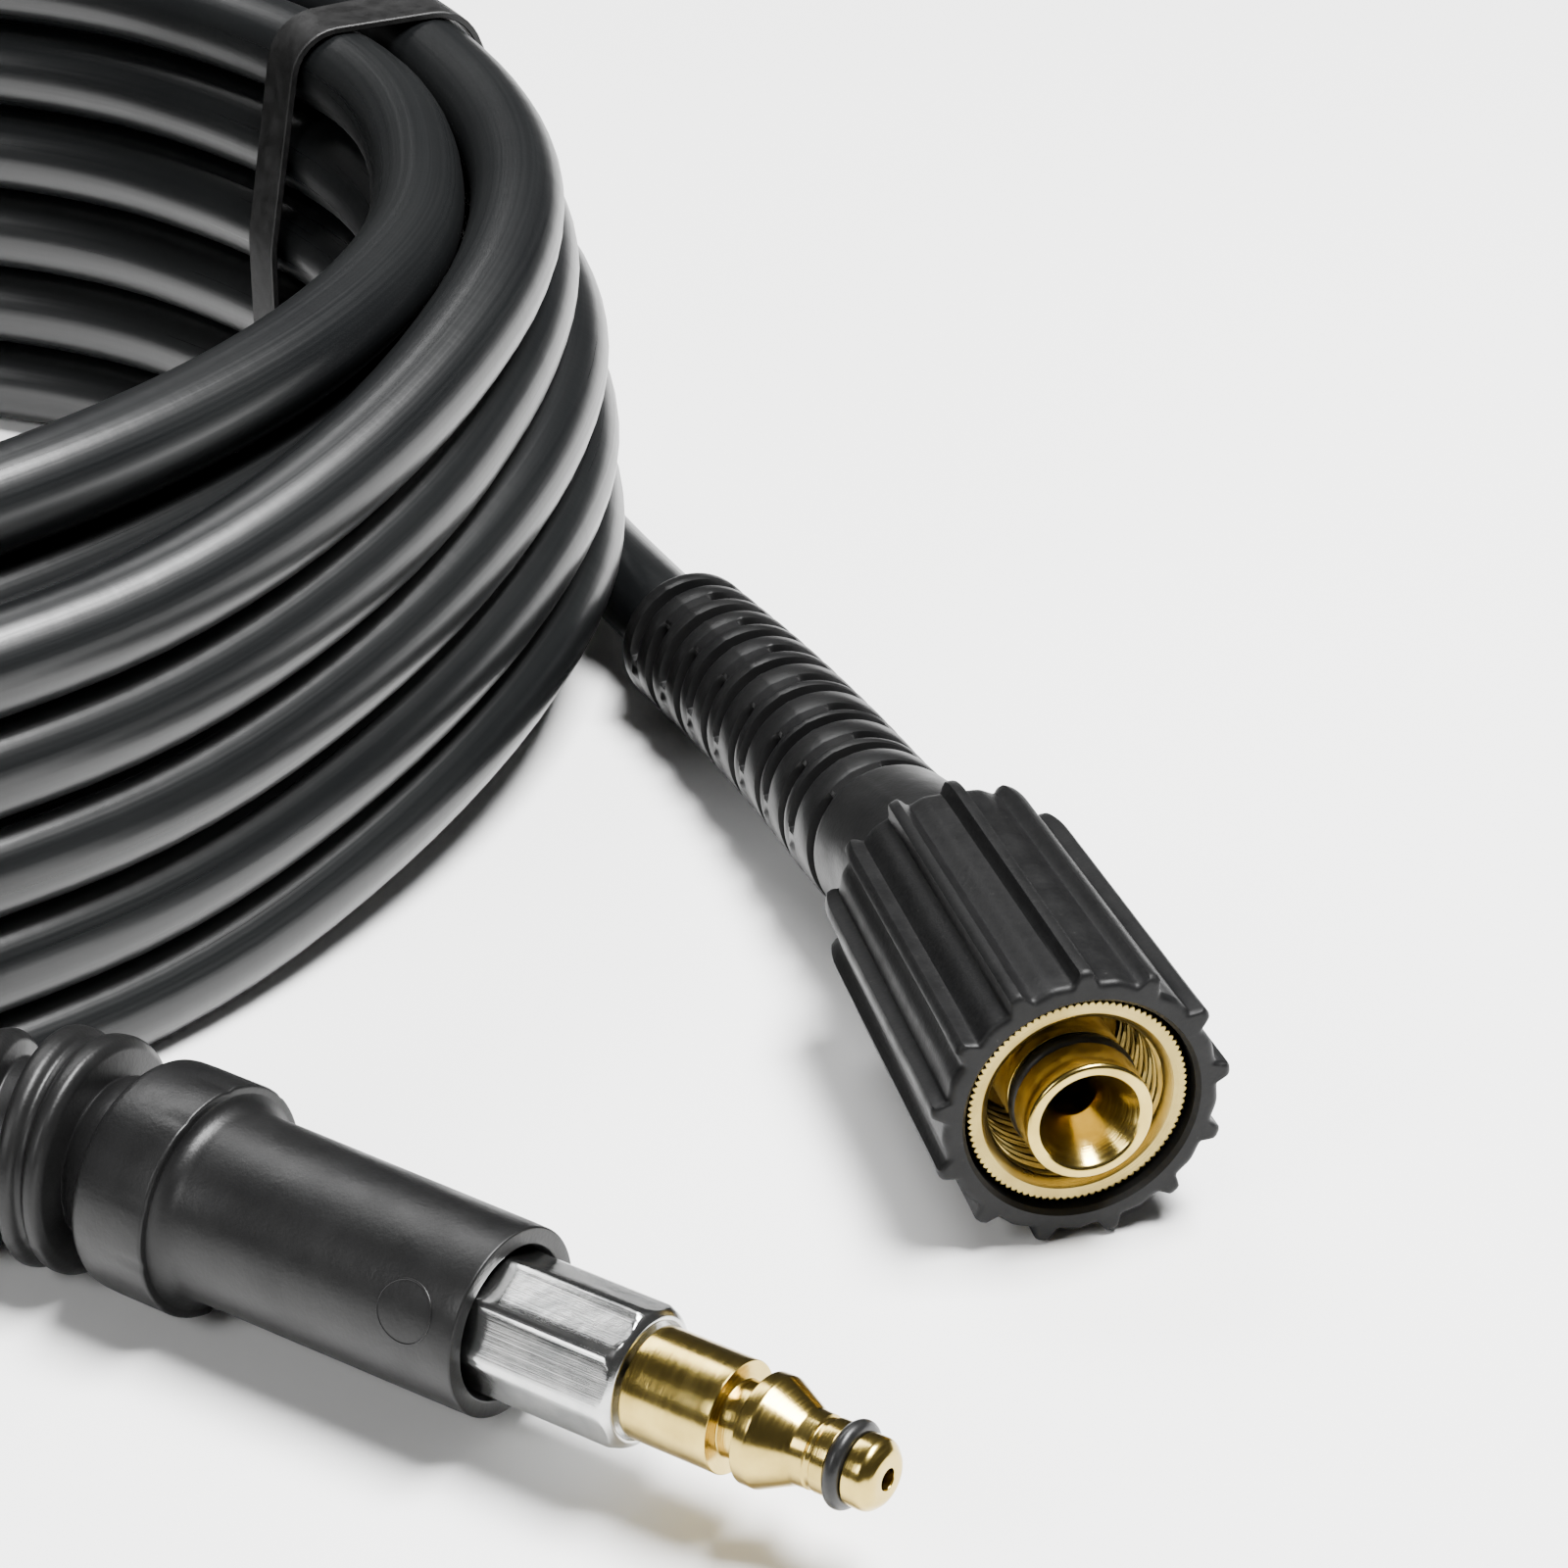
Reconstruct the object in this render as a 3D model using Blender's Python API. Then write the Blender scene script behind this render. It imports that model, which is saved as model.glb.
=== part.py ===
"""A coiled pressure washer hose with a swivelling screw fitting on one end and a plug on the other.

Metres, +Z up. The screw fitting's axis points along -Y. Along its axis, distances run back from
the nut's front face. Along the plug's axis, distances run forwards from the sleeve's front face.
"""

import math

import bmesh
import bpy
from mathutils import Matrix, Vector

GAP = 0.0003

# Hose and the way it is wound
HOSE_DIAMETER = 0.0125
LEVEL_GAP = 0.0002
COLUMN_GAP = 0.0006
OUTSIDE_GAP = 0.0004
COIL_FIRST_GUESS = (-0.1743, 0.1799)
CLEAR_OF_NUT_END = 0.0053
CLEAR_OF_PLUG_END = 0.0004
OVAL_LONG = 0.1415
OVAL_LONG_LEFT = 0.1125
OVAL_SHORT = 0.1168
OVAL_TILT = 13.5
INNER_SLACK = 0.0135
TAIL_FALL = 0.42
OUTER_LEVELS = 5
INNER_LEVELS = 6
COIL_START = 25.0
STEP_UP = (-60.0, -12.0)
STEP_DOWN = (210.0, 255.0)
CROSS_IN = (197.0, 235.0)
WAY_OUT = (190.0, 235.0)
HUMP_RISE = (160.0, 203.0)
HUMP_FALL = (225.0, 260.0)
RING_STATIONS = 90
LEVEL_PITCH = HOSE_DIAMETER + LEVEL_GAP
COLUMN_PITCH = HOSE_DIAMETER + COLUMN_GAP
OUTSIDE_OFFSET = 2 * COLUMN_PITCH + OUTSIDE_GAP
COIL_CENTRE = Vector(COIL_FIRST_GUESS)

# Strap round the coil
STRAP_ANGLE = 13.0
STRAP_WIDTH = 0.010
STRAP_THICKNESS = 0.0010

# Screw fitting
NUT_LENGTH = 0.0515
NUT_FRONT_RADIUS = 0.0179
NUT_REAR_RADIUS = 0.0163
NUT_RIB_COUNT = 13
NUT_RIB_HEIGHT = 0.0016
NUT_RIB_TOP = 0.0024
NUT_RIB_FOOT = 0.0040
INSERT_RADIUS = 0.0133
INSERT_RECESS = 0.0015
INSERT_LENGTH = 0.0190
INSERT_LIP = 0.0030
THREAD_RADIUS = 0.0107
THREAD_CHAMFER = 0.0114
NIPPLE_RADIUS = 0.00745
NIPPLE_STANDS_OUT = 0.0030
NIPPLE_BORE = 0.0029
NIPPLE_FUNNEL = 0.0062
NIPPLE_FUNNEL_DEPTH = 0.0062
NIPPLE_SHOULDER_RADIUS = 0.0094
NIPPLE_SHANK_RADIUS = 0.0070
SEAL_START = 0.0022
SEAL_WIDTH = 0.0024
SEAL_DEPTH = 0.0014
SWIVEL_CLEARANCE = 0.0004
BOOT_FRONT_RADIUS = 0.0107
BOOT_REAR_RADIUS = 0.0097
BOOT_START = 0.0310
BOOT_BEND_START = 0.0500
BOOT_LENGTH = 0.0910
BOOT_ASIDE = (0.0, -0.0019, -0.0032, -0.0056, -0.0094)
BOOT_SUNK = (0.0, 0.44, 0.69, 0.87, 1.0)
BOOT_OFF_FLOOR = 0.0002
BOOT_REAR_RIM = 0.0056
BOOT_GROOVE_COUNT = 7
BOOT_GROOVE_PITCH = 0.0106
BOOT_GROOVE_WIDTH = 0.0034
BOOT_GROOVE_DEPTH = 0.0016

# Plug
PLUG_PLACE = (-0.0702, -0.0185, 0.0141)
PLUG_HEADING = -50.63
SLEEVE_FRONT_RADIUS = 0.01075
SLEEVE_REAR_RADIUS = 0.0110
SLEEVE_LENGTH = 0.0405
COLLAR_RADIUS = 0.0136
COLLAR_FILLET = 0.0022
COLLAR_LENGTH = 0.0105
COLLAR_CHAMFER = 0.0012
FERRULE_SIDES = 8
FERRULE_ACROSS_FLATS = 0.0152
FERRULE_INSIDE_SLEEVE = 0.0100
FERRULE_STANDS_OUT = 0.0183
FERRULE_CHAMFER = 0.0010
PLUG_BODY_RADIUS = 0.0063
PLUG_BODY_LENGTH = 0.0111
PLUG_GROOVE_RADIUS = 0.0043
PLUG_GROOVE_LENGTH = 0.0030
PLUG_FLANGE_RADIUS = 0.0062
PLUG_FLANGE_LENGTH = 0.0016
PLUG_CONE_LENGTH = 0.0042
PLUG_NECK_RADIUS = 0.0041
PLUG_NECK_LENGTH = 0.0042
PLUG_SEAL_RADIUS = 0.0047
PLUG_SEAL_WIDTH = 0.0021
PLUG_SEAL_DEPTH = 0.0012
PLUG_TIP_RADIUS = 0.0040
PLUG_TIP_LENGTH = 0.0034
PLUG_TIP_ROUND = 0.0010
PLUG_BORE = 0.0015
BELLOWS_NECK_RADIUS = 0.0100
BELLOWS_NECK_LENGTH = 0.0052
BELLOWS_RIB_RADIUS = 0.0139
BELLOWS_RIB_LENGTH = 0.0088
BELLOWS_RIB_GAP = 0.0034
BELLOWS_GROOVE_RADIUS = 0.0092
BELLOWS_RIB_COUNT = 3
BELLOWS_RIB_SHRINK = 0.0013
BELLOWS_TAIL_WALL = 0.0021
BELLOWS_TAIL_LENGTH = 0.0050
BELLOWS_DROP = 0.0025
PLUG_BEND_RADIUS = 0.048

ROUND_SIDES = 40


def ease(value, low, high):
    """0 below low, 1 above high, and a smooth step between."""
    share = min(max((value - low) / (high - low), 0.0), 1.0)
    return share * share * (3.0 - 2.0 * share)


def polar(angle, radius):
    return radius * math.cos(angle), radius * math.sin(angle)


# How the hose is wound. Angles are in degrees and go on past 360 from turn to turn.

INWARD_TURN = 360.0 * OUTER_LEVELS
OUTWARD_TURN = INWARD_TURN + 360.0 * INNER_LEVELS
PLUG_END_LEAD = 0.0513


def inner_slack(angle):
    """How far inside the oval the inner column lies at the back."""
    around = (angle + 180.0) % 360.0 - 180.0
    return INNER_SLACK * ease(around, -25.0, 30.0) * (1.0 - ease(around, 110.0, 175.0))


def hump(angle):
    """The outer column's rise, in levels, over the end that leaves beneath it."""
    around = angle % 360.0
    return ease(around, *HUMP_RISE) * (1.0 - ease(around, *HUMP_FALL))


def strand(turned):
    """How far outside the oval the hose lies, and on which level, after it has turned so far."""
    if turned < INWARD_TURN + HUMP_FALL[1]:
        inward = ease(turned, INWARD_TURN + CROSS_IN[0], INWARD_TURN + CROSS_IN[1])
        offset = COLUMN_PITCH * (1.0 - inward) - inner_slack(turned) * inward
        steps = [360.0 * (turn + 1) for turn in range(OUTER_LEVELS)]
        level = 1.0 + sum(ease(turned, step + STEP_UP[0], step + STEP_UP[1]) for step in steps)
        return offset, level + (hump(turned) if turned > HUMP_RISE[0] else 0.0)
    outward = ease(turned, OUTWARD_TURN + WAY_OUT[0], OUTWARD_TURN + WAY_OUT[1])
    offset = OUTSIDE_OFFSET * outward - inner_slack(turned) * (1.0 - outward)
    steps = [INWARD_TURN + 360.0 * (turn + 1) for turn in range(INNER_LEVELS - 1)]
    level = INNER_LEVELS - sum(ease(turned, step + STEP_DOWN[0], step + STEP_DOWN[1]) for step in steps)
    return offset, level


def on_oval(angle, offset):
    """A point at a distance outside the oval that the inner column follows."""
    along = math.radians(angle - OVAL_TILT)
    long = OVAL_LONG if math.cos(along) > 0.0 else OVAL_LONG_LEFT
    x, y = long * math.cos(along), OVAL_SHORT * math.sin(along)
    outward = Vector((math.cos(along) / long, math.sin(along) / OVAL_SHORT)).normalized()
    place = Vector((x, y)) + offset * outward
    place.rotate(Matrix.Rotation(math.radians(OVAL_TILT), 2))
    return place + COIL_CENTRE


def hose_point(turned):
    offset, level = strand(turned)
    place = on_oval(turned, offset)
    return Vector((place.x, place.y, HOSE_DIAMETER / 2 + (level - 1.0) * LEVEL_PITCH))


def nearest_oval(place):
    """How far a level place lies from the oval."""
    return min((on_oval(angle, 0.0) - place).length for angle in range(0, 360))


def hermite(start, start_way, end, end_way, count):
    """A smooth curve from start to end, both included, leaving and arriving along the two ways."""
    reach = (end - start).length
    points = []
    for index in range(count):
        t = index / (count - 1)
        points.append(
            start * (2 * t**3 - 3 * t**2 + 1)
            + start_way.normalized() * reach * (t**3 - 2 * t**2 + t)
            + end * (3 * t**2 - 2 * t**3)
            + end_way.normalized() * reach * (t**3 - t**2)
        )
    return points


# Making objects


def material(name, colour, roughness, metallic=0.0):
    """A Principled material."""
    made = bpy.data.materials.new(name)
    made.use_nodes = True
    shader = made.node_tree.nodes["Principled BSDF"]
    shader.inputs["Base Color"].default_value = (*colour, 1.0)
    shader.inputs["Roughness"].default_value = roughness
    shader.inputs["Metallic"].default_value = metallic
    made.diffuse_color = (*colour, 1.0)
    return made


def add_mesh(name, bm, finish, home, parent):
    """Links the mesh as an object under its parent, with its faces pointing out."""
    bmesh.ops.recalc_face_normals(bm, faces=bm.faces)
    mesh = bpy.data.meshes.new(name)
    bm.to_mesh(mesh)
    bm.free()
    mesh.shade_smooth()
    mesh.set_sharp_from_angle(angle=math.radians(35.0))
    mesh.materials.append(finish)
    made = bpy.data.objects.new(name, mesh)
    made.matrix_world = home
    made.parent = parent
    bpy.context.scene.collection.objects.link(made)
    return made


def loft(name, rings, finish, home, parent, closed=False):
    """A solid through rings of points. A closed one joins its last ring to its first."""
    bm = bmesh.new()
    loops = [[bm.verts.new(point) for point in ring] for ring in rings]
    pairs = list(zip(loops, loops[1:]))
    if closed:
        pairs.append((loops[-1], loops[0]))
    else:
        bm.faces.new(loops[0])
        bm.faces.new(loops[-1])
    for near, far in pairs:
        for index in range(len(near)):
            after = (index + 1) % len(near)
            bm.faces.new((near[index], near[after], far[after], far[index]))
    return add_mesh(name, bm, finish, home, parent)


def turned_piece(name, profile, finish, home, parent, sides=ROUND_SIDES, bored=True):
    """A solid of revolution about local X, from (along, radius) points: a closed outline if bored."""
    rings = []
    for along, radius in profile:
        steps = [2 * math.pi * index / sides for index in range(sides)]
        rings.append([(along, *polar(step, radius)) for step in steps])
    return loft(name, rings, finish, home, parent, closed=bored)


def chamfered(start, end, radius, cut):
    """The four profile points of a cylinder with a chamfer at both ends."""
    return [(start, radius - cut), (start + cut, radius), (end - cut, radius), (end, radius - cut)]


# Screw fitting. Its own X runs back from the nut's front face.


def rib_outline(tip_radius, along):
    """The nut's outline with its ribs, one of them at the top."""
    points = []
    valley = tip_radius - NUT_RIB_HEIGHT
    for rib in range(NUT_RIB_COUNT):
        middle = math.pi / 2 + 2 * math.pi * rib / NUT_RIB_COUNT
        for width, radius in ((-NUT_RIB_FOOT, valley), (-NUT_RIB_TOP, tip_radius), (NUT_RIB_TOP, tip_radius), (NUT_RIB_FOOT, valley)):
            points.append((along, *polar(middle + width / 2 / radius, radius)))
    return points


def nut_axis_height():
    """The axis height at which the nut stands on its two lowest ribs."""
    lowest = math.pi / NUT_RIB_COUNT - NUT_RIB_TOP / 2 / NUT_FRONT_RADIUS
    return NUT_FRONT_RADIUS * math.cos(lowest)


def round_outline(radius, along):
    """A circle with as many points as the ribbed outline, at the same angles."""
    return [(along, *polar(math.atan2(z, y), radius)) for _, y, z in rib_outline(NUT_FRONT_RADIUS, along)]


def nut_shell(finish, home, parent):
    """The ribbed shell with its pocket for the insert and its hole for the boot's collar."""
    pocket = INSERT_RADIUS + GAP
    seat = INSERT_RECESS + INSERT_LENGTH + GAP
    hole = BOOT_FRONT_RADIUS + SWIVEL_CLEARANCE
    bevel = 0.0008
    rings = [
        rib_outline(NUT_FRONT_RADIUS - bevel, 0.0),
        rib_outline(NUT_FRONT_RADIUS, bevel),
        rib_outline(NUT_REAR_RADIUS, NUT_LENGTH - bevel),
        rib_outline(NUT_REAR_RADIUS - bevel, NUT_LENGTH),
        round_outline(hole, NUT_LENGTH),
        round_outline(hole, seat),
        round_outline(pocket, seat),
        round_outline(pocket, 0.0),
    ]
    return loft("nut_shell", rings, finish, home, parent, closed=True)


def thread_insert(finish, home, parent):
    """The brass ring with its thread's bore and the lip that bears on the nipple's shoulder."""
    front = INSERT_RECESS
    back = INSERT_RECESS + INSERT_LENGTH
    lip = back - INSERT_LIP
    lip_radius = NIPPLE_SHANK_RADIUS + SWIVEL_CLEARANCE
    entry = THREAD_CHAMFER - THREAD_RADIUS
    profile = [
        (front, THREAD_CHAMFER),
        (front, INSERT_RADIUS),
        (back, INSERT_RADIUS),
        (back, lip_radius),
        (lip, lip_radius),
        (lip, THREAD_RADIUS),
        (front + entry, THREAD_RADIUS),
    ]
    return turned_piece("thread_insert", profile, finish, home, parent)


def nipple(finish, home, parent):
    """The brass nipple: funnel and bore in front, seal groove, shoulder, and a shank into the boot."""
    front = -NIPPLE_STANDS_OUT
    shoulder_back = INSERT_RECESS + INSERT_LENGTH - INSERT_LIP - SWIVEL_CLEARANCE
    shoulder_front = shoulder_back - 0.0025
    shank_end = BOOT_START - GAP
    edge = 0.0007
    profile = [
        (front + NIPPLE_FUNNEL_DEPTH, NIPPLE_BORE),
        (front, NIPPLE_FUNNEL),
        (front, NIPPLE_RADIUS - edge),
        (front + edge, NIPPLE_RADIUS),
        (SEAL_START, NIPPLE_RADIUS),
        (SEAL_START, NIPPLE_RADIUS - SEAL_DEPTH),
        (SEAL_START + SEAL_WIDTH, NIPPLE_RADIUS - SEAL_DEPTH),
        (SEAL_START + SEAL_WIDTH, NIPPLE_RADIUS),
        (shoulder_front, NIPPLE_RADIUS),
        (shoulder_front, NIPPLE_SHOULDER_RADIUS),
        (shoulder_back, NIPPLE_SHOULDER_RADIUS),
        (shoulder_back, NIPPLE_SHANK_RADIUS),
        (shank_end, NIPPLE_SHANK_RADIUS),
        (shank_end, NIPPLE_BORE),
    ]
    return turned_piece("nipple", profile, finish, home, parent)


def seal(name, start, width, groove_radius, top_radius, finish, home, parent):
    """A rubber ring in its groove, with a gap to the groove's walls."""
    low = groove_radius + GAP
    middle, half = (low + top_radius) / 2, (top_radius - low) / 2
    centre = start + width / 2
    steps = [2 * math.pi * index / 10 for index in range(10)]
    half_width = width / 2 - GAP
    profile = [(centre + half_width * math.cos(step), middle + half * math.sin(step)) for step in steps]
    return turned_piece(name, profile, finish, home, parent)


def through(values, share):
    """A smooth line through evenly spaced values, at a share of the way from first to last."""
    place = min(max(share, 0.0), 1.0) * (len(values) - 1)
    index = min(int(place), len(values) - 2)
    t = place - index
    before = values[max(index - 1, 0)]
    start, end = values[index], values[index + 1]
    after = values[index + 2] if index + 2 < len(values) else 2 * end - start
    rise, run_out = (end - before) / 2, (after - start) / 2
    if index == 0:
        rise = 0.0
    return (
        start * (2 * t**3 - 3 * t**2 + 1) + rise * (t**3 - 2 * t**2 + t)
        + end * (3 * t**2 - 2 * t**3) + run_out * (t**3 - t**2)
    )


def boot_point(along, axis_height):
    """A point of the bend protector's line, by its distance behind the nut's front face."""
    share = (along - BOOT_BEND_START) / BOOT_LENGTH
    lying = BOOT_REAR_RADIUS + BOOT_OFF_FLOOR
    height = axis_height + (lying - axis_height) * through(BOOT_SUNK, share)
    return Vector((through(BOOT_ASIDE, share), along, height))


def boot_path(along, axis_height):
    """Place and heading along the bend protector, from inside the nut to its rear rim."""
    heading = boot_point(along, axis_height) - boot_point(along - 0.0002, axis_height)
    return boot_point(along, axis_height), heading.normalized()


def circle_across(place, heading, radius, sides):
    """Points of a circle round a heading."""
    side = heading.cross(Vector((0.0, 0.0, 1.0))).normalized()
    top = side.cross(heading)
    steps = [2 * math.pi * index / sides for index in range(sides)]
    return [place + side * radius * math.cos(step) + top * radius * math.sin(step) for step in steps]


def boot_end():
    return BOOT_BEND_START + BOOT_LENGTH


def boot_radius(along):
    share = (along - BOOT_BEND_START) / BOOT_LENGTH
    return BOOT_FRONT_RADIUS + (BOOT_REAR_RADIUS - BOOT_FRONT_RADIUS) * max(share, 0.0)


def boot_profile():
    """(distance behind the nut's front face, radius) of the bend protector, with its grooves."""
    points = [(BOOT_START + BOOT_LENGTH * 0.02 * step, BOOT_FRONT_RADIUS) for step in range(0, 14, 3)]
    half = BOOT_GROOVE_WIDTH / 2
    for groove in reversed(range(BOOT_GROOVE_COUNT)):
        middle = boot_end() - BOOT_REAR_RIM - half - BOOT_GROOVE_PITCH * groove
        radius = boot_radius(middle)
        points += [(middle - half, radius), (middle - half * 0.6, radius - BOOT_GROOVE_DEPTH)]
        points += [(middle + half * 0.6, radius - BOOT_GROOVE_DEPTH), (middle + half, radius)]
    points += [(boot_end() - 0.0010, BOOT_REAR_RADIUS), (boot_end(), BOOT_REAR_RADIUS - 0.0010)]
    return points


def nut_boot(finish, axis_height, parent):
    """The bend protector behind the nut, curved as it lies."""
    rings = []
    for along, radius in boot_profile():
        place, heading = boot_path(along, axis_height)
        rings.append(circle_across(place, heading, radius, 32))
    return loft("bend_protector_nut_end", rings, finish, Matrix(), parent)


# Plug. Its own X runs forwards from the sleeve's front face.


def plug_frame():
    heading = Matrix.Rotation(math.radians(PLUG_HEADING), 4, "Z")
    return Matrix.Translation(PLUG_PLACE) @ heading


def plug_sleeve(finish, home, parent):
    """The smooth sleeve and its collar, hollow in front for the ferrule."""
    hole = FERRULE_ACROSS_FLATS / 2 / math.cos(math.pi / FERRULE_SIDES) + GAP
    step = -SLEEVE_LENGTH
    rear = step - COLLAR_LENGTH
    depth = -FERRULE_INSIDE_SLEEVE - GAP
    profile = [
        (depth, 0.0015),
        (depth, hole),
        (0.0, hole),
        (0.0, SLEEVE_FRONT_RADIUS),
        (step + COLLAR_FILLET, SLEEVE_REAR_RADIUS),
        (step + COLLAR_FILLET * 0.3, SLEEVE_REAR_RADIUS + COLLAR_FILLET * 0.3),
        (step, SLEEVE_REAR_RADIUS + COLLAR_FILLET),
        (step, COLLAR_RADIUS),
        (rear + COLLAR_CHAMFER, COLLAR_RADIUS),
        (rear, COLLAR_RADIUS - COLLAR_CHAMFER),
        (rear, 0.0015),
    ]
    return turned_piece("plug_sleeve", profile, finish, home, parent)


def crimp_ferrule(finish, home, parent):
    """The eight-sided ferrule that grips the hose."""
    corner = FERRULE_ACROSS_FLATS / 2 / math.cos(math.pi / FERRULE_SIDES)
    start, end = -FERRULE_INSIDE_SLEEVE, FERRULE_STANDS_OUT
    bore = 0.0015
    outline = [(start, bore), (start, corner), (end - FERRULE_CHAMFER, corner), (end, corner - FERRULE_CHAMFER), (end, bore)]
    turn = Matrix.Rotation(math.pi / FERRULE_SIDES, 4, "X")
    return turned_piece("crimp_ferrule", outline, finish, home @ turn, parent, sides=FERRULE_SIDES)


def brass_plug(finish, home, parent):
    """The plug's turned tip: body, latch groove, flange with its cone, neck, seal groove and tip."""
    body = FERRULE_STANDS_OUT + GAP
    groove = body + PLUG_BODY_LENGTH
    flange = groove + PLUG_GROOVE_LENGTH
    cone = flange + PLUG_FLANGE_LENGTH
    neck = cone + PLUG_CONE_LENGTH
    seal_start = neck + PLUG_NECK_LENGTH
    tip = seal_start + PLUG_SEAL_WIDTH
    end = tip + PLUG_TIP_LENGTH
    profile = chamfered(body, groove, PLUG_BODY_RADIUS, 0.0005)
    profile = [(body, PLUG_BORE)] + profile + [
        (groove, PLUG_GROOVE_RADIUS),
        (flange, PLUG_GROOVE_RADIUS),
        (flange, PLUG_FLANGE_RADIUS),
        (cone, PLUG_FLANGE_RADIUS),
        (neck, PLUG_NECK_RADIUS),
        (seal_start, PLUG_NECK_RADIUS),
        (seal_start, PLUG_NECK_RADIUS - PLUG_SEAL_DEPTH),
        (tip, PLUG_NECK_RADIUS - PLUG_SEAL_DEPTH),
        (tip, PLUG_TIP_RADIUS),
        (end - PLUG_TIP_ROUND, PLUG_TIP_RADIUS),
        (end, PLUG_TIP_RADIUS - PLUG_TIP_ROUND),
        (end, PLUG_BORE),
    ]
    return turned_piece("brass_plug", profile, finish, home, parent), seal_start


def plug_bend(distance):
    """Place and way back along the plug's bend protector, at a distance behind the collar."""
    frame = plug_frame()
    start = frame @ Vector((-SLEEVE_LENGTH - COLLAR_LENGTH, 0, 0))
    heading = math.radians(PLUG_HEADING)
    angle = distance / PLUG_BEND_RADIUS
    ahead = Vector((math.cos(heading), math.sin(heading), 0.0))
    right = Vector((ahead.y, -ahead.x, 0.0))
    place = start + right * PLUG_BEND_RADIUS * (1 - math.cos(angle)) - ahead * PLUG_BEND_RADIUS * math.sin(angle)
    place.z -= BELLOWS_DROP * (distance / bellows_length()) ** 2
    return place, right * math.sin(angle) - ahead * math.cos(angle)


def bellows_length():
    ribs = BELLOWS_RIB_COUNT * (BELLOWS_RIB_LENGTH + BELLOWS_RIB_GAP)
    return GAP + BELLOWS_NECK_LENGTH + ribs + BELLOWS_TAIL_LENGTH


def bellows_profile():
    """(distance behind the collar, radius) of the plug's bend protector."""
    points = [(GAP, BELLOWS_NECK_RADIUS), (GAP + BELLOWS_NECK_LENGTH, BELLOWS_NECK_RADIUS)]
    start = GAP + BELLOWS_NECK_LENGTH
    for rib in range(BELLOWS_RIB_COUNT):
        top = BELLOWS_RIB_RADIUS - BELLOWS_RIB_SHRINK * rib
        end = start + BELLOWS_RIB_LENGTH
        middle = (start + end) / 2
        points += [(start + 0.0002, top - 0.0022), (start + 0.0022, top), (middle, top - 0.0010)]
        points += [(end - 0.0022, top), (end - 0.0002, top - 0.0022), (end, BELLOWS_GROOVE_RADIUS)]
        start = end + BELLOWS_RIB_GAP
        points.append((start, BELLOWS_GROOVE_RADIUS))
    points.append((start + BELLOWS_TAIL_LENGTH, HOSE_DIAMETER / 2 + BELLOWS_TAIL_WALL))
    return points


def plug_bellows(finish, parent):
    """The ribbed bend protector behind the plug's collar."""
    rings = []
    for distance, radius in bellows_profile():
        place, heading = plug_bend(distance)
        rings.append(circle_across(place, heading, radius, 32))
    return loft("bend_protector_plug_end", rings, finish, Matrix(), parent)


# Hose


def coil_tops(angle):
    """The highest level of the outer and of the inner column at an angle."""
    outer, inner = 1.0, 1.0
    turned = COIL_START - 360.0 + (angle - COIL_START) % 360.0
    while turned < OUTWARD_TURN + WAY_OUT[0]:
        turned += 360.0
        offset, level = strand(turned)
        if offset > COLUMN_PITCH / 2:
            outer = max(outer, level)
        else:
            inner = max(inner, level)
    return outer, inner


def coil_section(angle):
    """The outline of the wound coil at an angle: a step down from the inner column to the outer."""
    half = HOSE_DIAMETER / 2
    outer, inner = coil_tops(angle)
    inner = max(inner, outer, INNER_LEVELS)
    outer_top = (outer - 1.0) * LEVEL_PITCH + HOSE_DIAMETER
    inner_top = (inner - 1.0) * LEVEL_PITCH + HOSE_DIAMETER + GAP
    inside = -inner_slack(angle) - half
    outside = COLUMN_PITCH + half
    step = half - inner_slack(angle)
    floor = 0.0
    if abs(angle - STRAP_ANGLE) < strap_groove() / 2:
        floor = STRAP_THICKNESS + 2 * GAP
    outline = [(outside, floor), (outside, outer_top), (step, outer_top)]
    outline += [(step, inner_top), (inside, inner_top), (inside, floor)]
    points = []
    for offset, height in outline:
        place = on_oval(angle, offset)
        points.append((place.x, place.y, height))
    return points


def strap_groove():
    """The angle that the strap takes under the coil, in degrees."""
    return math.degrees((STRAP_WIDTH + 4 * GAP) / OVAL_SHORT)


def hose_coil(finish, parent):
    """The wound hose as one ring."""
    edge = strap_groove() / 2
    angles = [360.0 * index / RING_STATIONS for index in range(RING_STATIONS)]
    angles = [angle for angle in angles if abs(angle - STRAP_ANGLE) > edge + 1.0]
    for side in (-1, 1):
        angles += [STRAP_ANGLE + side * edge * 0.999, STRAP_ANGLE + side * edge * 1.001]
    rings = [coil_section(angle) for angle in sorted(angles)]
    return loft("hose_coil", rings, finish, Matrix(), parent, closed=True)


def hose_tube(name, points, finish, parent):
    """A straight-sided tube along a route."""
    curve = bpy.data.curves.new(name, "CURVE")
    curve.dimensions = "3D"
    curve.bevel_depth = HOSE_DIAMETER / 2
    curve.bevel_resolution = 4
    curve.use_fill_caps = True
    spline = curve.splines.new("POLY")
    spline.points.add(len(points) - 1)
    for knot, point in zip(spline.points, points):
        knot.co = (*point, 1.0)
    curve.materials.append(finish)
    made = bpy.data.objects.new(name, curve)
    made.parent = parent
    bpy.context.scene.collection.objects.link(made)
    return made


def nut_end_route(axis_height):
    """From the bend protector's rear down into the coil's lowest outer place."""
    start, way = boot_path(boot_end(), axis_height)
    end = hose_point(COIL_START)
    end_way = hose_point(COIL_START + 2.0) - hose_point(COIL_START - 2.0)
    points = hermite(start + way * 2 * GAP, way, end, end_way, 240)
    for index, point in enumerate(points):
        point.z = start.z + (end.z - start.z) * ease(index / 239, 0.0, TAIL_FALL)
    return points


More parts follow.
